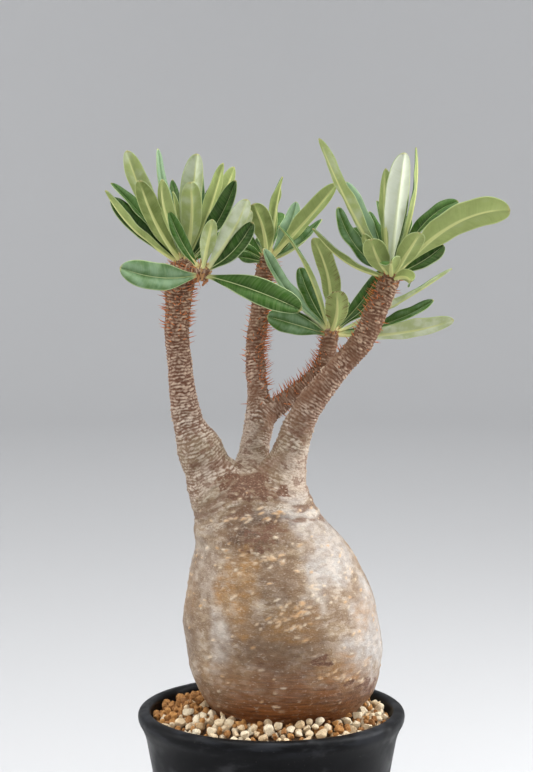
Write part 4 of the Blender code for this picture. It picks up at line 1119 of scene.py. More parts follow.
def leaf_mesh(leaf, head, seed, steps=BLADE_STEPS, columns=BLADE_ACROSS, thickness=BLADE_THICKNESS):
    """One leaf, a closed blade with a raised rib below and a groove above: its points and faces,
    each face's side, and the place, look and distance from the rib of each point."""
    shares = 1.0 - (1.0 - np.linspace(0.0, 1.0, steps)) ** 1.25
    s, across = shares[:, None, None], np.array(columns)[None, :, None]
    blade, half = leaf_blade(leaf, head, seed, shares, columns)
    _, upper, _ = leaf_frame(leaf, head, shares)
    over = unit(np.cross(np.gradient(blade, axis=1), np.gradient(blade, axis=0)))
    over *= np.sign((over * upper[:, None]).sum(axis=2, keepdims=True) + 1e-9)
    thick = thickness * (1.0 - 0.62 * across**4) * (1.15 - 0.35 * s)
    rib_width = 0.28 + 0.50 * (1.0 - s)
    keel = np.exp(-(across * half / rib_width) ** 2)
    groove = 0.15 * np.exp(-(across * half / (0.6 * rib_width)) ** 2) * (1 - s) ** 0.3
    top = blade + over * (thick / 2 - groove)
    bottom = blade - over * (thick / 2 + keel * (0.08 + 0.55 * (1.0 - s) ** 1.2))
    points = np.concatenate([top.reshape(-1, 3), bottom.reshape(-1, 3)])

    sides = blade_faces(len(shares), len(columns))
    faces = np.vstack(sides)
    which = np.repeat((0.0, 1.0, 0.0), [len(side) for side in sides])
    first = sides[0]
    out = np.cross(points[first[:, 2]] - points[first[:, 0]], points[first[:, 3]] - points[first[:, 1]])
    if (out * over.reshape(-1, 3)[first[:, 0]]).sum() < 0:
        faces = faces[:, ::-1]
    length = np.linalg.norm(leaf.reach)
    place = np.stack(np.broadcast_arrays(shares[:, None], np.array(columns)[None], length), axis=-1)
    place = np.tile(place.reshape(-1, 3), (2, 1))
    look = np.tile((leaf.tone, leaf.spots, (seed * 0.618) % 1.0), (len(points), 1))
    aside = np.tile((np.abs(across) * half).ravel(), 2)
    return points, faces, which, place, look, aside


def joined_leaves(name, sets, materials):
    """One piece from the meshes of several leaves."""
    start, parts = 0, []
    for points, faces, *values in sets:
        parts.append((points, faces + start, *values))
        start += len(points)
    points, faces, which, place, look, aside = (np.concatenate(part) for part in zip(*parts))
    piece = mesh_piece(name, points, faces, materials, which if len(materials) > 1 else None)
    add_values(piece, "place", place)
    add_values(piece, "look", look)
    add_values(piece, "aside", aside)
    return piece


def dry_scales(draw, head, thick):
    """The scales round one growth point, at the end of a limb of the given thickness."""
    axis = unit(np.array(head.axis))
    first = unit(np.cross(axis, (0.0, 1.0, 0.0)))
    second = np.cross(axis, first)
    for number in range(SCALES):
        share = number / (SCALES - 1)
        turn = number * GOLDEN_ANGLE + draw.uniform(-0.2, 0.2)
        outward = first * math.cos(turn) + second * math.sin(turn)
        out = thick * (1.0 - 0.55 * share) + draw.uniform(0.1, 0.8)
        reach = outward * out + axis * draw.uniform(2.4, 4.6)
        tone = share * draw.uniform(0.6, 1.1)
        facing = np.cross(np.cross(reach, axis), reach)
        width, turned_by = draw.uniform(0.8, 1.6), turn_towards(reach, facing)
        scale = Leaf(tuple(reach), width, turned_by, fold=20.0, tone=tone)
        foot = Head(tuple(np.array(head.middle) + axis * (-5.0 + 6.0 * share)), head.axis, ())
        yield leaf_mesh(scale, foot, number, SCALE_STEPS, SCALE_ACROSS, SCALE_THICKNESS)


def make_crown(name, lines, material):
    """The dry scales and leaf bases that hide a limb's tip, round each of its growth points."""
    draw = random.Random(SCALE_SEED + len(name))
    sets = []
    for point in ROSETTES[name]:
        line = lines["branch" if point == "left_front" else name]
        thick = np.interp(-6.0, line.along - line.along[-1], line.radii)
        sets.extend(dry_scales(draw, HEADS[point], thick))
    return placed(joined_leaves("crown_" + name, sets, [material]), "leaf")


def turn_towards(reach, wanted):
    """The turn in degrees that makes a leaf's upper face look the wanted way."""
    along = unit(np.array(reach))
    facing = unit(FRONT - along * (along @ FRONT))
    angle = math.degrees(math.atan2(wanted @ np.cross(along, facing), wanted @ facing))
    return -angle if reach[0] > 0 else angle


def make_rosette(name, upper, under):
    """One limb's leaves."""
    sets, seed = [], 40 * len(name)
    for point in ROSETTES[name]:
        for leaf in HEADS[point].leaves:
            seed += 1
            sets.append(leaf_mesh(leaf, HEADS[point], seed))
    return placed(joined_leaves("leaves_" + name, sets, [upper, under]), "leaf", "rosette_" + name)


def soil_level(radius):
    """The height of the gravel's middle layer at a distance from the pot's axis."""
    return np.interp(radius, (SOIL_CREST_RADIUS, SOIL_RADIUS), (SOIL_AT_CAUDEX, SOIL_AT_WALL))


def caudex_clearance(x, y, height):
    """How far a place lies outside the caudex at a height."""
    middle, width, depth = caudex_at(height)
    return (np.hypot((x - middle) / width, y / (width * depth)) - 1.0) * width


def settle_grains():
    """Where the grains lie: each in turn takes the lowest of a few places drawn at random."""
    draw = np.random.default_rng(GRAIN_SEED)
    grains = np.empty((0, 5))
    for _ in range(GRAINS_DRAWN):
        is_pumice = draw.random() < PUMICE_SHARE
        radius = draw.uniform(*(PUMICE_RADII if is_pumice else CLAY_RADII))
        reach = np.sqrt(draw.uniform(25.0**2, (SOIL_RADIUS - 0.75 * radius) ** 2, GRAIN_TRIES))
        turn = draw.uniform(0.0, math.tau, GRAIN_TRIES)
        x, y = reach * np.cos(turn), reach * np.sin(turn)
        clear = caudex_clearance(x, y, SOIL_AT_CAUDEX) > 0.55 * radius
        if not clear.any():
            continue
        x, y, reach = x[clear], y[clear], reach[clear]
        level = soil_level(reach)
        z = level - SOIL_DEPTH_UNDER_GRAINS + 0.5 * radius
        left_out = smoothstep(10.0, 45.0, y - x) * is_pumice
        if len(grains):
            apart = np.hypot(x[:, None] - grains[:, 0], y[:, None] - grains[:, 1])
            touch = 0.86 * (radius + grains[:, 3])
            lift = np.sqrt(np.maximum(touch**2 - apart**2, 0.0))
            on_top = np.where(apart < touch, grains[:, 2] + lift * 0.9, -1e9).max(axis=1)
            z = np.maximum(z, on_top)
        best = int((z - level + 2.5 * left_out).argmin())
        if z[best] - level[best] < HEAPED:
            grains = np.vstack([grains, (x[best], y[best], z[best], radius, is_pumice)])
    return grains


def grain_shape(draw, sharpness):
    """One grain's points and triangles: a ball chipped by planes, with an uneven skin."""
    shape = bmesh.new()
    bmesh.ops.create_icosphere(shape, subdivisions=3, radius=1.0)
    points = np.array([vertex.co for vertex in shape.verts])
    faces = np.array([[vertex.index for vertex in face.verts] for face in shape.faces])
    shape.free()
    stretch = draw.uniform(0.72, 1.12, 3)
    points = points * stretch
    for _ in range(9):
        normal = unit(draw.normal(size=3))
        depth = draw.uniform(0.42, 0.78)
        past = points @ normal - depth
        points = points - np.where(past > 0, past * sharpness, 0.0)[:, None] * normal
    seed = int(draw.integers(1000))
    points *= 1.0 + 0.08 * rough(points, 0.5, seed)[:, None]
    return points, faces


def turned_matrix(draw):
    """A rotation drawn evenly from all rotations."""
    quaternion = unit(draw.normal(size=4))
    w, x, y, z = quaternion
    return np.array((
        (1 - 2 * (y * y + z * z), 2 * (x * y - z * w), 2 * (x * z + y * w)),
        (2 * (x * y + z * w), 1 - 2 * (x * x + z * z), 2 * (y * z - x * w)),
        (2 * (x * z - y * w), 2 * (y * z + x * w), 1 - 2 * (x * x + y * y)),
    ))


def make_gravel(pumice, clay):
    """The cream pumice grains and the brown baked clay grains."""
    draw = np.random.default_rng(GRAIN_SEED + 1)
    grains = settle_grains()
    kinds = {"gravel_pumice": (1, pumice, 0.97), "gravel_clay": (0, clay, 0.88)}
    for name, (kind, material, sharpness) in kinds.items():
        shapes = [grain_shape(draw, sharpness) for _ in range(GRAIN_SHAPES)]
        points, faces, looks, start = [], [], [], 0
        for x, y, z, radius, _ in grains[grains[:, 4] == kind]:
            coarse, triangles = shapes[int(draw.integers(GRAIN_SHAPES))]
            placed_points = coarse @ turned_matrix(draw).T * radius + (x, y, z)
            points.append(placed_points)
            faces.append(triangles + start)
            looks.append(np.tile((draw.random(), draw.random(), 0.0), (len(coarse), 1)))
            start += len(coarse)
        piece = mesh_piece(name, np.vstack(points), np.vstack(faces), [material])
        piece.data.set_sharp_from_angle(angle=math.radians(42.0))
        add_values(piece, "look", np.vstack(looks))
        placed(piece, "gravel", "soil_and_gravel")


def lathe(name, profile, segments, material):
    """A closed turned solid from a profile of radius and height that starts and ends on the axis."""
    rings = profile[1:-1]
    ends = [(0.0, 0.0, profile[0][1]), (0.0, 0.0, profile[-1][1])]
    quads, caps = ring_faces(len(rings), segments)
    faces = [*quads[:, (0, 3, 2, 1)].tolist(), *((end, b, a) for end, a, b in caps)]
    return mesh_piece(name, np.vstack([turned(rings, segments), ends]), faces, [material])


def pot_inner_wall(clearance=0.0):
    """The pot's inside below the lip, from the floor up, as radius and height."""
    radii, heights = zip(*reversed(POT_OUTSIDE))
    wall = [(float(np.interp(z, heights, radii)) - POT_WALL - clearance, z) for z in (6.6, 68.5)]
    return [(wall[0][0] - 2.0, POT_FLOOR + clearance), *wall]


def drain_cutters():
    """A collection of cylinders, one through the pot's floor at each drain hole."""
    cutters = bpy.data.collections.new("drain_cutters")
    bpy.context.scene.collection.children.link(cutters)
    for hole in range(DRAIN_HOLES):
        angle = math.tau * hole / DRAIN_HOLES
        shape = bmesh.new()
        bmesh.ops.create_cone(
            shape, cap_ends=True, segments=32, radius1=DRAIN_RADIUS * MM,
            radius2=DRAIN_RADIUS * MM, depth=4 * POT_FLOOR * MM,
        )
        mesh = bpy.data.meshes.new("drain_cutter")
        shape.to_mesh(mesh)
        shape.free()
        cutter = bpy.data.objects.new("drain_cutter", mesh)
        cutter.location = Vector((math.cos(angle), math.sin(angle), 0.0)) * DRAIN_CIRCLE * MM
        cutters.objects.link(cutter)
    return cutters


def cut_by(piece, cutters):
    """Cuts a collection's objects out of a piece, and removes them."""
    cut = piece.modifiers.new("Boolean", "BOOLEAN")
    cut.operation = "DIFFERENCE"
    cut.operand_type = "COLLECTION"
    cut.collection = cutters
    bpy.context.view_layer.update()
    mesh = bpy.data.meshes.new_from_object(piece.evaluated_get(bpy.context.evaluated_depsgraph_get()))
    piece.modifiers.clear()
    piece.data = mesh
    for cutter in list(cutters.objects):
        bpy.data.objects.remove(cutter)
    bpy.data.collections.remove(cutters)


def make_pot(material):
    """The pot, with a finely rounded lip and foot, and its drain holes."""
    inside = [(0.0, POT_FLOOR), *pot_inner_wall(), *POT_LIP_INSIDE]
    underside = [
        (FOOT_INNER_RADIUS, 0.0), (FOOT_INNER_RADIUS - 1.0, FOOT_RECESS),
        (BOSS_RADIUS + 1.0, FOOT_RECESS), (BOSS_RADIUS, 0.0), (0.0, 0.0),
    ]
    pot = lathe("pot_shell", [*inside, *POT_OUTSIDE, *underside], POT_SEGMENTS, material)
    cut_by(pot, drain_cutters())
    pot.data.shade_smooth()
    pot.data.set_sharp_from_angle(angle=math.radians(50.0))
    return placed(pot, "pot_plastic", "pot")


def make_soil(material):
    """The dark soil under the gravel, lower than the gravel's level by the depth of the grains."""
    side = SOIL_RADIUS - 0.1
    radii = (0.0, 12.0, 24.0, SOIL_CREST_RADIUS, 40.5, side)
    top = [(radius, soil_level(radius) - SOIL_DEPTH_UNDER_GRAINS) for radius in radii[:-1]]
    top += [(side, SOIL_AT_WALL - SOIL_DEPTH_UNDER_GRAINS), (side, 81.0)]
    profile = [*top, *reversed(pot_inner_wall(GAP)), (0.0, POT_FLOOR + GAP)]
    return placed(lathe("soil", profile, POT_SEGMENTS, material), "gravel", "soil_and_gravel")


class Signal:
    """A value, colour or vector inside a material. A value adds and multiplies as a number does."""

    def __init__(self, make, socket):
        self.make, self.socket = make, socket

    def __add__(self, other):
        return self.make.math("ADD", self, other)

    def __sub__(self, other):
        return self.make.math("SUBTRACT", self, other)

    def __mul__(self, other):
        return self.make.math("MULTIPLY", self, other)

    def span(self, low, high, to_low=0.0, to_high=1.0):
        """The range low to high of this value, smoothly brought to another range."""
        return self.make.add("ShaderNodeMapRange", {
            "Value": self, "From Min": low, "From Max": high, "To Min": to_low, "To Max": to_high,
        }, clamp=True, interpolation_type="SMOOTHSTEP")

    def parts(self):
        """The X, Y and Z of this vector."""
        node = self.make.node("ShaderNodeSeparateXYZ", {"Vector": self})
        return [Signal(self.make, socket) for socket in node.outputs]

    def between(self, first, second):
        """A colour between two others, as far along as this value says."""
        return self.make.mix(self, first, second)

    def to(self, colour, share):
        """This colour brought towards another by a share."""
        return self.make.mix(share, self, colour)


class Nodes:
    """Builds one material. An input is given a number, a tuple or a Signal."""

    def __init__(self, name):
        self.material = bpy.data.materials.new(name)
        self.material.use_nodes = True
        self.tree = self.material.node_tree
        self.shader = self.tree.nodes["Principled BSDF"]

    def node(self, kind, inputs, **settings):
        """A new node with its settings and inputs."""
        made = self.tree.nodes.new(kind)
        for key, value in settings.items():
            setattr(made, key, value)
        for key, value in inputs.items():
            self.feed(made.inputs[key], value)
        return made

    def add(self, kind, inputs, output=0, **settings):
        """The Signal that comes out of a new node."""
        return Signal(self, self.node(kind, inputs, **settings).outputs[output])

    def feed(self, socket, value):
        """Links a Signal to an input, or sets the input to a value."""
        if isinstance(value, Signal):
            self.tree.links.new(value.socket, socket)
        elif socket.type == "RGBA":
            socket.default_value = (*value, 1.0)
        else:
            socket.default_value = value

    def math(self, operation, first, second=0.0):
        """Two values joined by an operation."""
        return self.add("ShaderNodeMath", {0: first, 1: second}, operation=operation)

    def mix(self, share, first, second):
        """Two colours mixed. A Mix node's colours are its inputs 6 and 7 and its output 2."""
        return self.add("ShaderNodeMix", {"Factor": share, 6: first, 7: second}, 2, data_type="RGBA")

    def values(self, name):
        """The vector kept under a name for each point of the mesh."""
        return self.add("ShaderNodeAttribute", {}, "Vector", attribute_name=name)

    def place(self):
        """The place on the object, in millimetres."""
        spot = self.add("ShaderNodeTexCoord", {}, "Object")
        return self.add("ShaderNodeVectorMath", {0: spot, 1: (1000.0,) * 3}, operation="MULTIPLY")

    def noise(self, where, size, detail=3.0, contrast=1.0):
        """Noise from 0 to 1 with features of the given size, or of three sizes."""
        sizes = size if isinstance(size, tuple) else (size,) * 3
        scale = tuple(1.0 / one for one in sizes)
        scaled = self.add("ShaderNodeVectorMath", {0: where, 1: scale}, operation="MULTIPLY")
        made = self.add("ShaderNodeTexNoise", {"Vector": scaled, "Scale": 1.0, "Detail": detail})
        return made if contrast == 1.0 else made.span(0.5 - 0.5 / contrast, 0.5 + 0.5 / contrast)

    def bump(self, height, distance):
        """Fine relief that the mesh doesn't carry, as deep as the distance in millimetres."""
        normal = self.add("ShaderNodeBump", {"Height": height, "Distance": distance * MM, "Strength": 1.0})
        self.feed(self.shader.inputs["Normal"], normal)

    def finish(self, colour, roughness, specular):
        """Sets the shader's colour, roughness and specular level."""
        self.feed(self.shader.inputs["Base Color"], colour)
        self.feed(self.shader.inputs["Roughness"], roughness)
        self.shader.inputs["Specular IOR Level"].default_value = specular
        return self.material


class Bark(Nodes):
    """The bark's material, with the values kept on the mesh that its colours are made from."""

    def __init__(self):
        super().__init__("bark")
        self.grain, self.spot = self.values("grain"), self.place()
        self.crest, self.limb, self.crust = self.values("skin").parts()
        self.brown, self.ochre, self.silver_and_highlight = self.values("areas").parts()
        self.rust, self.tint, self.fold = self.values("marks").parts()
        self.x, _, self.z = self.spot.parts()
        self.measure = self.grain.parts()[2]
        self.flecks = self.noise(self.grain, (0.9, 0.9, 0.5), 4.0, 1.7)
        self.cover = self.crest * 0.74 + self.flecks * 0.26
        # Fewer dark marks in the silver areas, so that their painted highlight stays smooth
        self.fewer_marks_in_silver = self.silver_and_highlight.span(0.2, 0.8, 1.0, 0.35)

    def limb_colour(self):
        """Cream-grey flakes over red-brown: darker on the young tops, greyer on the old feet, with
        brown clouds and some olive low down."""
        young = self.cover.span(0.24, 0.76).between(*LIMB_YOUNG)
        grown = self.cover.span(0.22, 0.72).between(*LIMB_GROWN)
        old = self.cover.span(0.22, 0.70).between(*LIMB_OLD)
        colour = grown.to(young, self.measure.span(222.0, 258.0))
        colour = colour.to(old, self.measure.span(222.0, 200.0))
        clouds = self.noise(self.spot, (7.0, 7.0, 10.0), 3.0, 1.9)
        right_side = self.x.span(-14.0, -4.0)
        colour = colour.to(LIMB_CLOUD, clouds * (right_side * 0.60 + 0.34))
        olive = self.noise(self.spot, (11.0, 11.0, 13.0), 2.0, 2.4)
        return colour.to(LIMB_OLIVE, olive * self.measure.span(218.0, 192.0, 0.0, 0.50))

    def body_colour(self):
        """Streaked brown-grey skin that peels, with brown and ochre areas, silver areas that are partly a
        painted highlight, and dusky clouds.
        """
        streaks = self.noise(self.grain, (6.0, 6.0, 1.8), 6.0, 1.6)
        mottle = self.noise(self.grain, (3.0, 3.0, 2.0), 6.0, 1.9)
        peeling = self.noise(self.grain, (4.5, 4.5, 2.6), 6.0)
        silver_and_painted_sheen = self.noise(self.grain, (5.0, 5.0, 2.5), 6.0, 1.7)
        # Painted highlight: the silver areas turn the skin towards silvery white
        body = streaks.between(*SKIN).to(silver_and_painted_sheen.between(*SILVER_AND_HIGHLIGHT), self.silver_and_highlight)
        body = body.to(PEEL_PALE, peeling.span(0.54, 0.56, 0.0, 0.36))
        body = body.to(PEEL_DARK, peeling.span(0.44, 0.42, 0.0, 0.46) * self.fewer_marks_in_silver)
        body = body.to(mottle.between(*BROWN), self.brown * mottle.span(0.0, 1.0, 1.0, 0.80))
        body = body.to(mottle.between(*OCHRE), self.ochre * streaks.span(0.1, 0.8, 0.95, 0.40))
        dusk = self.noise(self.spot, (8.0, 8.0, 11.0), 6.0, 2.6) * 0.58
        return body.to(DUSK, dusk * self.fewer_marks_in_silver)

    def darkened_low_and_in_folds(self, body):
        """The body's colour, darker and browner with fine level lines towards the soil, partly its own
        brown and partly painted shade, and with painted shade in the folds.
        """
        sideways = self.x - 8.0
        level = self.z + self.noise(self.spot, 12.0, 3.0) * 18.0 + sideways * sideways * 0.012
        lines = self.noise(self.grain, (9.0, 9.0, 0.7), 5.0, 1.7)
        # Partly painted shade: the skin darkens towards the soil
        body = body.to(lines.between(*LOW_BROWN_AND_SHADE), level.span(137.0, 106.0, 0.0, 0.96))
        # Painted shade in the valleys of the folds
        return body.to(PAINTED_FOLD_SHADE, self.fold.span(0.05, 0.55, 0.0, 0.80))

    def weathered(self, body):
        """The body's colour with grit, pale fold backs that are a painted highlight, scurf, specks, flakes
        and crusts.
        """
        grit = self.noise(self.grain, (0.85, 0.85, 0.5), 2.0, 2.2)
        gritty = self.z.span(108.0, 150.0, 0.03, 0.13)
        body = body.to(GRIT_PALE, grit.span(0.60, 0.95) * gritty)
        body = body.to(GRIT_DARK, grit.span(0.40, 0.05) * gritty)
        bare = self.brown.span(0.1, 0.7, 1.0, 0.2) * self.rust.span(0.1, 0.7, 1.0, 0.1)
        # Painted highlight: pale flecks on the backs of the folds where the skin is bare
        back = self.fold.span(-0.05, -0.50) * self.flecks.span(0.25, 0.75, 0.10, 0.65) * bare
        body = body.to(FOLD_BACK_HIGHLIGHT, back)
        scurf = self.z.span(166.0, 176.0, 0.0, 0.4) * self.cover.span(0.55, 0.80) * bare
        body = body.to(SCURF, scurf)
        specks = self.noise(self.grain, (1.4, 1.4, 0.6), 2.0).span(0.64, 0.72) * self.fewer_marks_in_silver
        body = body.to(SPECK, specks * 0.55)
        flakes = self.noise(self.grain, (1.8, 1.8, 0.8), 4.0).span(0.60, 0.68)
        body = body.to(FLAKE, flakes * 0.26)
        return body.to(self.tint.between(*CRUST), self.crust * 0.9)

    def marked(self, colour):
        """The whole skin's colour, with cream and russet on the limbs' feet, and torn rust marks."""
        # The cream on the limbs' feet follows the silver areas, which are partly a painted highlight
        cream = self.silver_and_highlight * self.flecks.span(0.2, 0.7, 0.35, 0.80)
        colour = colour.to(LIMB_CREAM, cream * self.limb.span(0.3, 0.8))
        russet = self.noise(self.spot, (4.0, 4.0, 3.0), 6.0).span(0.53, 0.60)
        foot = self.z.span(172.0, 184.0) * self.z.span(222.0, 200.0)
        colour = colour.to(self.cover.between(*LIMB_RUSSET), russet * foot * 0.66)
        torn = self.rust + (self.noise(self.grain, (3.6, 3.6, 2.0), 6.0, 2.2) - 0.5) * 1.1
        rusty = torn.span(0.36, 0.74, 0.0, 0.95) * self.rust.span(0.02, 0.2)
        return colour.to(self.flecks.between(*RUST), rusty * self.flecks.span(0.66, 0.84, 1.0, 0.25))


def bark_material():
    """Silvery grey-beige skin: flaked rings with red-brown between them on the limbs, and clouds of brown,
    ochre and silver with cream crusts on the caudex, which browns towards the soil.
    The silver is partly a painted highlight, and the browning towards the soil is partly painted shade."""
    bark = Bark()
    body = bark.weathered(bark.darkened_low_and_in_folds(bark.body_colour()))
    colour = bark.marked(body.to(bark.limb_colour(), bark.limb.span(0.30, 0.80)))
    fine = bark.noise(bark.grain, (0.5, 0.5, 0.3), 3.0, 1.6)
    gloss = bark.limb.span(0.2, 0.8, 0.38, 0.74) + fine * 0.14
    bark.bump(fine + bark.flecks * 0.8, 0.085)
    return bark.finish(colour, gloss, 0.33)


def scale_material():
    """Dry scales, rust brown with cream-yellow feet."""
    make = Nodes("scale")
    share, tone = make.values("place").parts()[0], make.values("look").parts()[0]
    fibres = make.noise(make.place(), 0.8, 3.0, 1.8)
    colour = tone.between(*SCALE)
    colour = colour.to(SCALE_FIBRE, fibres * 0.3)
    colour = colour.to(SCALE_FOOT, share.span(1.00, 0.45) * tone.span(0.35, 0.75, 0.05, 0.9))
    make.bump(fibres, 0.06)
    return make.finish(colour, 0.6, 0.35)


def spine_material():
    """Rust-red spines with paler feet and dark points."""
    make = Nodes("spine")
    level = make.values("place").parts()[0]
    tone = make.noise(make.place(), 3.0, 1.0, 1.8)
    colour = tone.between(*SPINE)
    colour = colour.to(SPINE_FOOT, level.span(0.0, 0.3, 0.5, 0.0))
    colour = colour.to(SPINE_TIP, level.span(0.7, 1.0, 0.0, 0.6))
    return make.finish(colour, 0.45, 0.4)


class LeafSide(NamedTuple):
    """The looks of one side of a leaf: its dark, middle and pale green, the colours of its rib and
    margin, how strongly its veins show, how much paler each half is painted along its arch as a
    painted sheen, the rib's width, the range of its roughness, the depth of its veins and its specular
    level."""

    greens: tuple
    rib: tuple
    rim: tuple
    veins: float
    arch: float
    rib_width: float
    roughness: tuple
    depth: float
    specular: float


# The pale green above is partly the glaucous bloom and partly a painted sheen
LEAF_UPPER = LeafSide(
    greens=((0.009, 0.036, 0.002), (0.034, 0.100, 0.009), (0.210, 0.320, 0.190)),
    rib=(0.56, 0.64, 0.32), rim=(0.46, 0.56, 0.28), veins=0.08, arch=0.14, rib_width=0.46,
    roughness=(0.38, 0.54), depth=0.06, specular=0.13,
)
# The bright yellow-green below is partly the leaf's own pale underside and partly painted light shining
# through the leaf
LEAF_UNDER = LeafSide(
    greens=((0.150, 0.200, 0.052), (0.305, 0.368, 0.128), (0.66, 0.70, 0.57)),
    rib=(0.60, 0.62, 0.26), rim=(0.54, 0.60, 0.25), veins=0.09, arch=0.0, rib_width=0.66,
    roughness=(0.55, 0.68), depth=0.045, specular=0.14,
)


def leaf_rib(make, share, tone, width):
    """How much of the pale rib each point is: broad at the leaf's foot and fine towards its tip."""
    from_rib = make.values("aside").parts()[0]
    wide = share.span(0.0, 0.9, 1.0, 0.42) * width
    rib = from_rib.span(wide * 1.25, wide * 0.5) * share.span(0.99, 0.80)
    return rib * tone.span(0.6, 1.0, 0.88, 0.30)


def leaf_material(name, side):
    """A leaf's side: green to glaucous above, its palest partly a painted sheen, olive to nearly white
    below, partly painted light shining through, with a pale rib and margin, fine veins, a yellow foot, a
    yellow-brown point and a few red-brown dashes."""
    make = Nodes(name)
    share, across, length = make.values("place").parts()
    tone, spots, seed = make.values("look").parts()
    aside = make.math("ABSOLUTE", across)
    slant = share * length - aside * 2.2
    vein_place = make.add("ShaderNodeCombineXYZ", {"X": slant * 1.25, "Y": across * 0.6, "Z": seed})
    veins = make.noise(vein_place, 1.0, 2.0, 1.9)
    cloud = make.noise(make.place(), 5.0, 3.0, 1.7)
    # Painted sheen: on the upper side each half is paler along the middle of its arch
    arch = aside.span(0.08, 0.42) * aside.span(0.95, 0.5)
    shade = tone + cloud.span(0.0, 1.0, -0.12, 0.10) + arch * side.arch
    dark, middle, pale = side.greens
    colour = shade.span(0.0, 0.5).between(dark, middle).to(pale, shade.span(0.48, 1.05))
    colour = colour.to(side.rib, veins * side.veins)
    colour = colour.to(side.rib, leaf_rib(make, share, tone, side.rib_width))
    colour = colour.to(side.rim, aside.span(0.915, 0.97) * 0.7)
    colour = colour.to(LEAF_FOOT, share.span(0.13, 0.01, 0.0, 0.85))
    colour = colour.to(LEAF_TIP, share.span(0.975, 1.0, 0.0, 0.6))
    dashes = make.noise(vein_place, (0.42, 1.3, 1.0), 1.0).span(0.60, 0.66) * spots
    colour = colour.to(LEAF_DASH, dashes * aside.span(0.35, 0.55))
    make.bump(veins, side.depth)
    return make.finish(colour, cloud.span(0.0, 1.0, *side.roughness), side.specular)


def grain_material(name, dark, pale, dust, stain_and_pore_shade):
    """Matt, pitted grains, each with a shade of its own."""
    make = Nodes(name)
    own, other, _ = make.values("look").parts()
    spot = make.place()
    speckle = make.noise(spot, 0.55, 4.0, 1.7)
    stain = other.span(0.6, 1.0) * make.noise(spot, 1.6, 2.0, 2.0)
    pores = make.noise(spot, 0.42, 2.0).span(0.62, 0.70)
    colour = own.between(dark, pale).to(dust, speckle * 0.5)
    # Painted shade: the pores are darkened with the stains' colour
    colour = colour.to(stain_and_pore_shade, stain * 0.5).to(stain_and_pore_shade, pores * 0.6)
    make.bump(speckle - pores, 0.16)
    return make.finish(colour, 0.92, 0.25)


def pot_material():
    """Black plastic with a satin skin, a dusty bloom, a lip paler from wear and from a painted highlight,
    and rubbed scuffs.
    """
    make = Nodes("pot_plastic")
    spot = make.place()
    dust = make.noise(spot, (9.0, 9.0, 7.0), 5.0, 2.0)
    smear = make.noise(spot, (11.0, 11.0, 4.5), 8.0, 1.5)
    scuffs = smear.span(0.50, 1.0) * dust.span(0.30, 0.9)
    lip = spot.parts()[2].span(84.0, 91.0)
    wear_and_highlight = make.noise(spot, (14.0, 14.0, 3.0), 6.0).span(0.44, 0.66, 0.0, 0.75)
    specks = make.noise(spot, 0.5, 2.0).span(0.70, 0.76)
    colour = (dust * 0.35).between(*PLASTIC)
    # Partly wear and partly a painted highlight along the lip
    colour = colour.to(LIP_WEAR_AND_HIGHLIGHT, lip * wear_and_highlight)
    colour = colour.to(SCUFF, scuffs * 0.50)
    colour = colour.to(POT_SPECK, specks * 0.35)
    make.bump(make.noise(spot, 0.8, 4.0), 0.025)
    return make.finish(colour, dust.span(0.0, 1.0, 0.34, 0.50) + scuffs * 0.2, 0.10)


def soil_material():
    """Dark brown soil in the gaps between the grains."""
    make = Nodes("soil")
    lumps = make.noise(make.place(), 0.8, 5.0, 1.5)
    make.bump(lumps, 0.4)
    return make.finish(lumps.between(*SOIL), 0.95, 0.2)


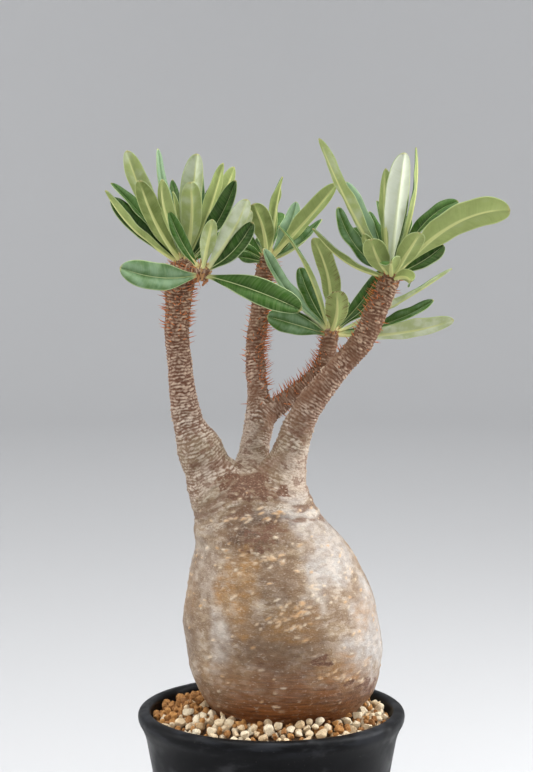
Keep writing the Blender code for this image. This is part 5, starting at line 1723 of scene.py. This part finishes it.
def make_stage():
    """A plain pale floor that runs up into a pale wall all round."""
    finish = Nodes("stage").finish(STAGE_COLOUR, 0.9, 0.1)
    floor = STAGE_RADIUS - STAGE_BEND
    outline = [(0.02, 0.0), (300.0, 0.0), (floor, 0.0)]
    for angle in np.linspace(0.0, math.pi / 2, 16)[1:]:
        outline.append((floor + STAGE_BEND * math.sin(angle), STAGE_BEND - STAGE_BEND * math.cos(angle)))
    outline.append((STAGE_RADIUS, STAGE_HEIGHT))
    quads, _ = ring_faces(len(outline), STAGE_SIDES)
    faces = [*quads[:, ::-1].tolist(), list(range(STAGE_SIDES))]
    mesh_piece("backdrop", turned(outline, STAGE_SIDES), faces, [finish])


def make_light(name, place, aim, size, power):
    """A soft rectangular light that faces a point."""
    data = bpy.data.lights.new(name, "AREA")
    data.shape = "RECTANGLE"
    data.size, data.size_y = size[0] * MM, size[1] * MM
    data.energy = power
    light = bpy.data.objects.new(name, data)
    light.location = Vector(place) * MM
    light.rotation_euler = (Vector(aim) - Vector(place)).to_track_quat("-Z", "Y").to_euler()
    bpy.context.scene.collection.objects.link(light)


def make_lights():
    """Soft lights round the plant and four that face the stage's wall, and a dim even sky."""
    for name, setting in LIGHTS.items():
        make_light(name, *setting)
    world = bpy.data.worlds.new("studio")
    world.use_nodes = True
    background = world.node_tree.nodes["Background"]
    background.inputs["Color"].default_value = (1.0, 1.0, 1.0, 1.0)
    background.inputs["Strength"].default_value = SKY_STRENGTH
    bpy.context.scene.world = world
    bpy.context.scene.view_settings.view_transform = "Standard"


def make_camera():
    """The camera, which frames the plant as the photograph does."""
    data = bpy.data.cameras.new("camera")
    data.sensor_fit = "VERTICAL"
    data.sensor_height = CAMERA_SENSOR
    data.lens = CAMERA_LENS
    data.clip_start = 0.01
    data.clip_end = 20.0
    camera = bpy.data.objects.new("camera", data)
    camera.location = Vector(CAMERA_PLACE) * MM
    camera.rotation_euler = (CAMERA_TILT, 0.0, 0.0)
    bpy.context.scene.collection.objects.link(camera)
    bpy.context.scene.camera = camera


def main():
    """Builds the plant in its pot, the stage, the lights and the camera."""
    lines = stem_lines()
    bark = bark_material()
    make_caudex(lines, bark)
    make_limbs(lines, bark)
    make_spines(lines, spine_material())
    upper, under = leaf_material("leaf_upper", LEAF_UPPER), leaf_material("leaf_under", LEAF_UNDER)
    scale = scale_material()
    for name in ROSETTES:
        make_rosette(name, upper, under)
        make_crown(name, lines, scale)
    make_gravel(*(grain_material(name, *colours) for name, colours in GRAINS.items()))
    make_soil(soil_material())
    make_pot(pot_material())
    make_stage()
    make_lights()
    make_camera()


main()
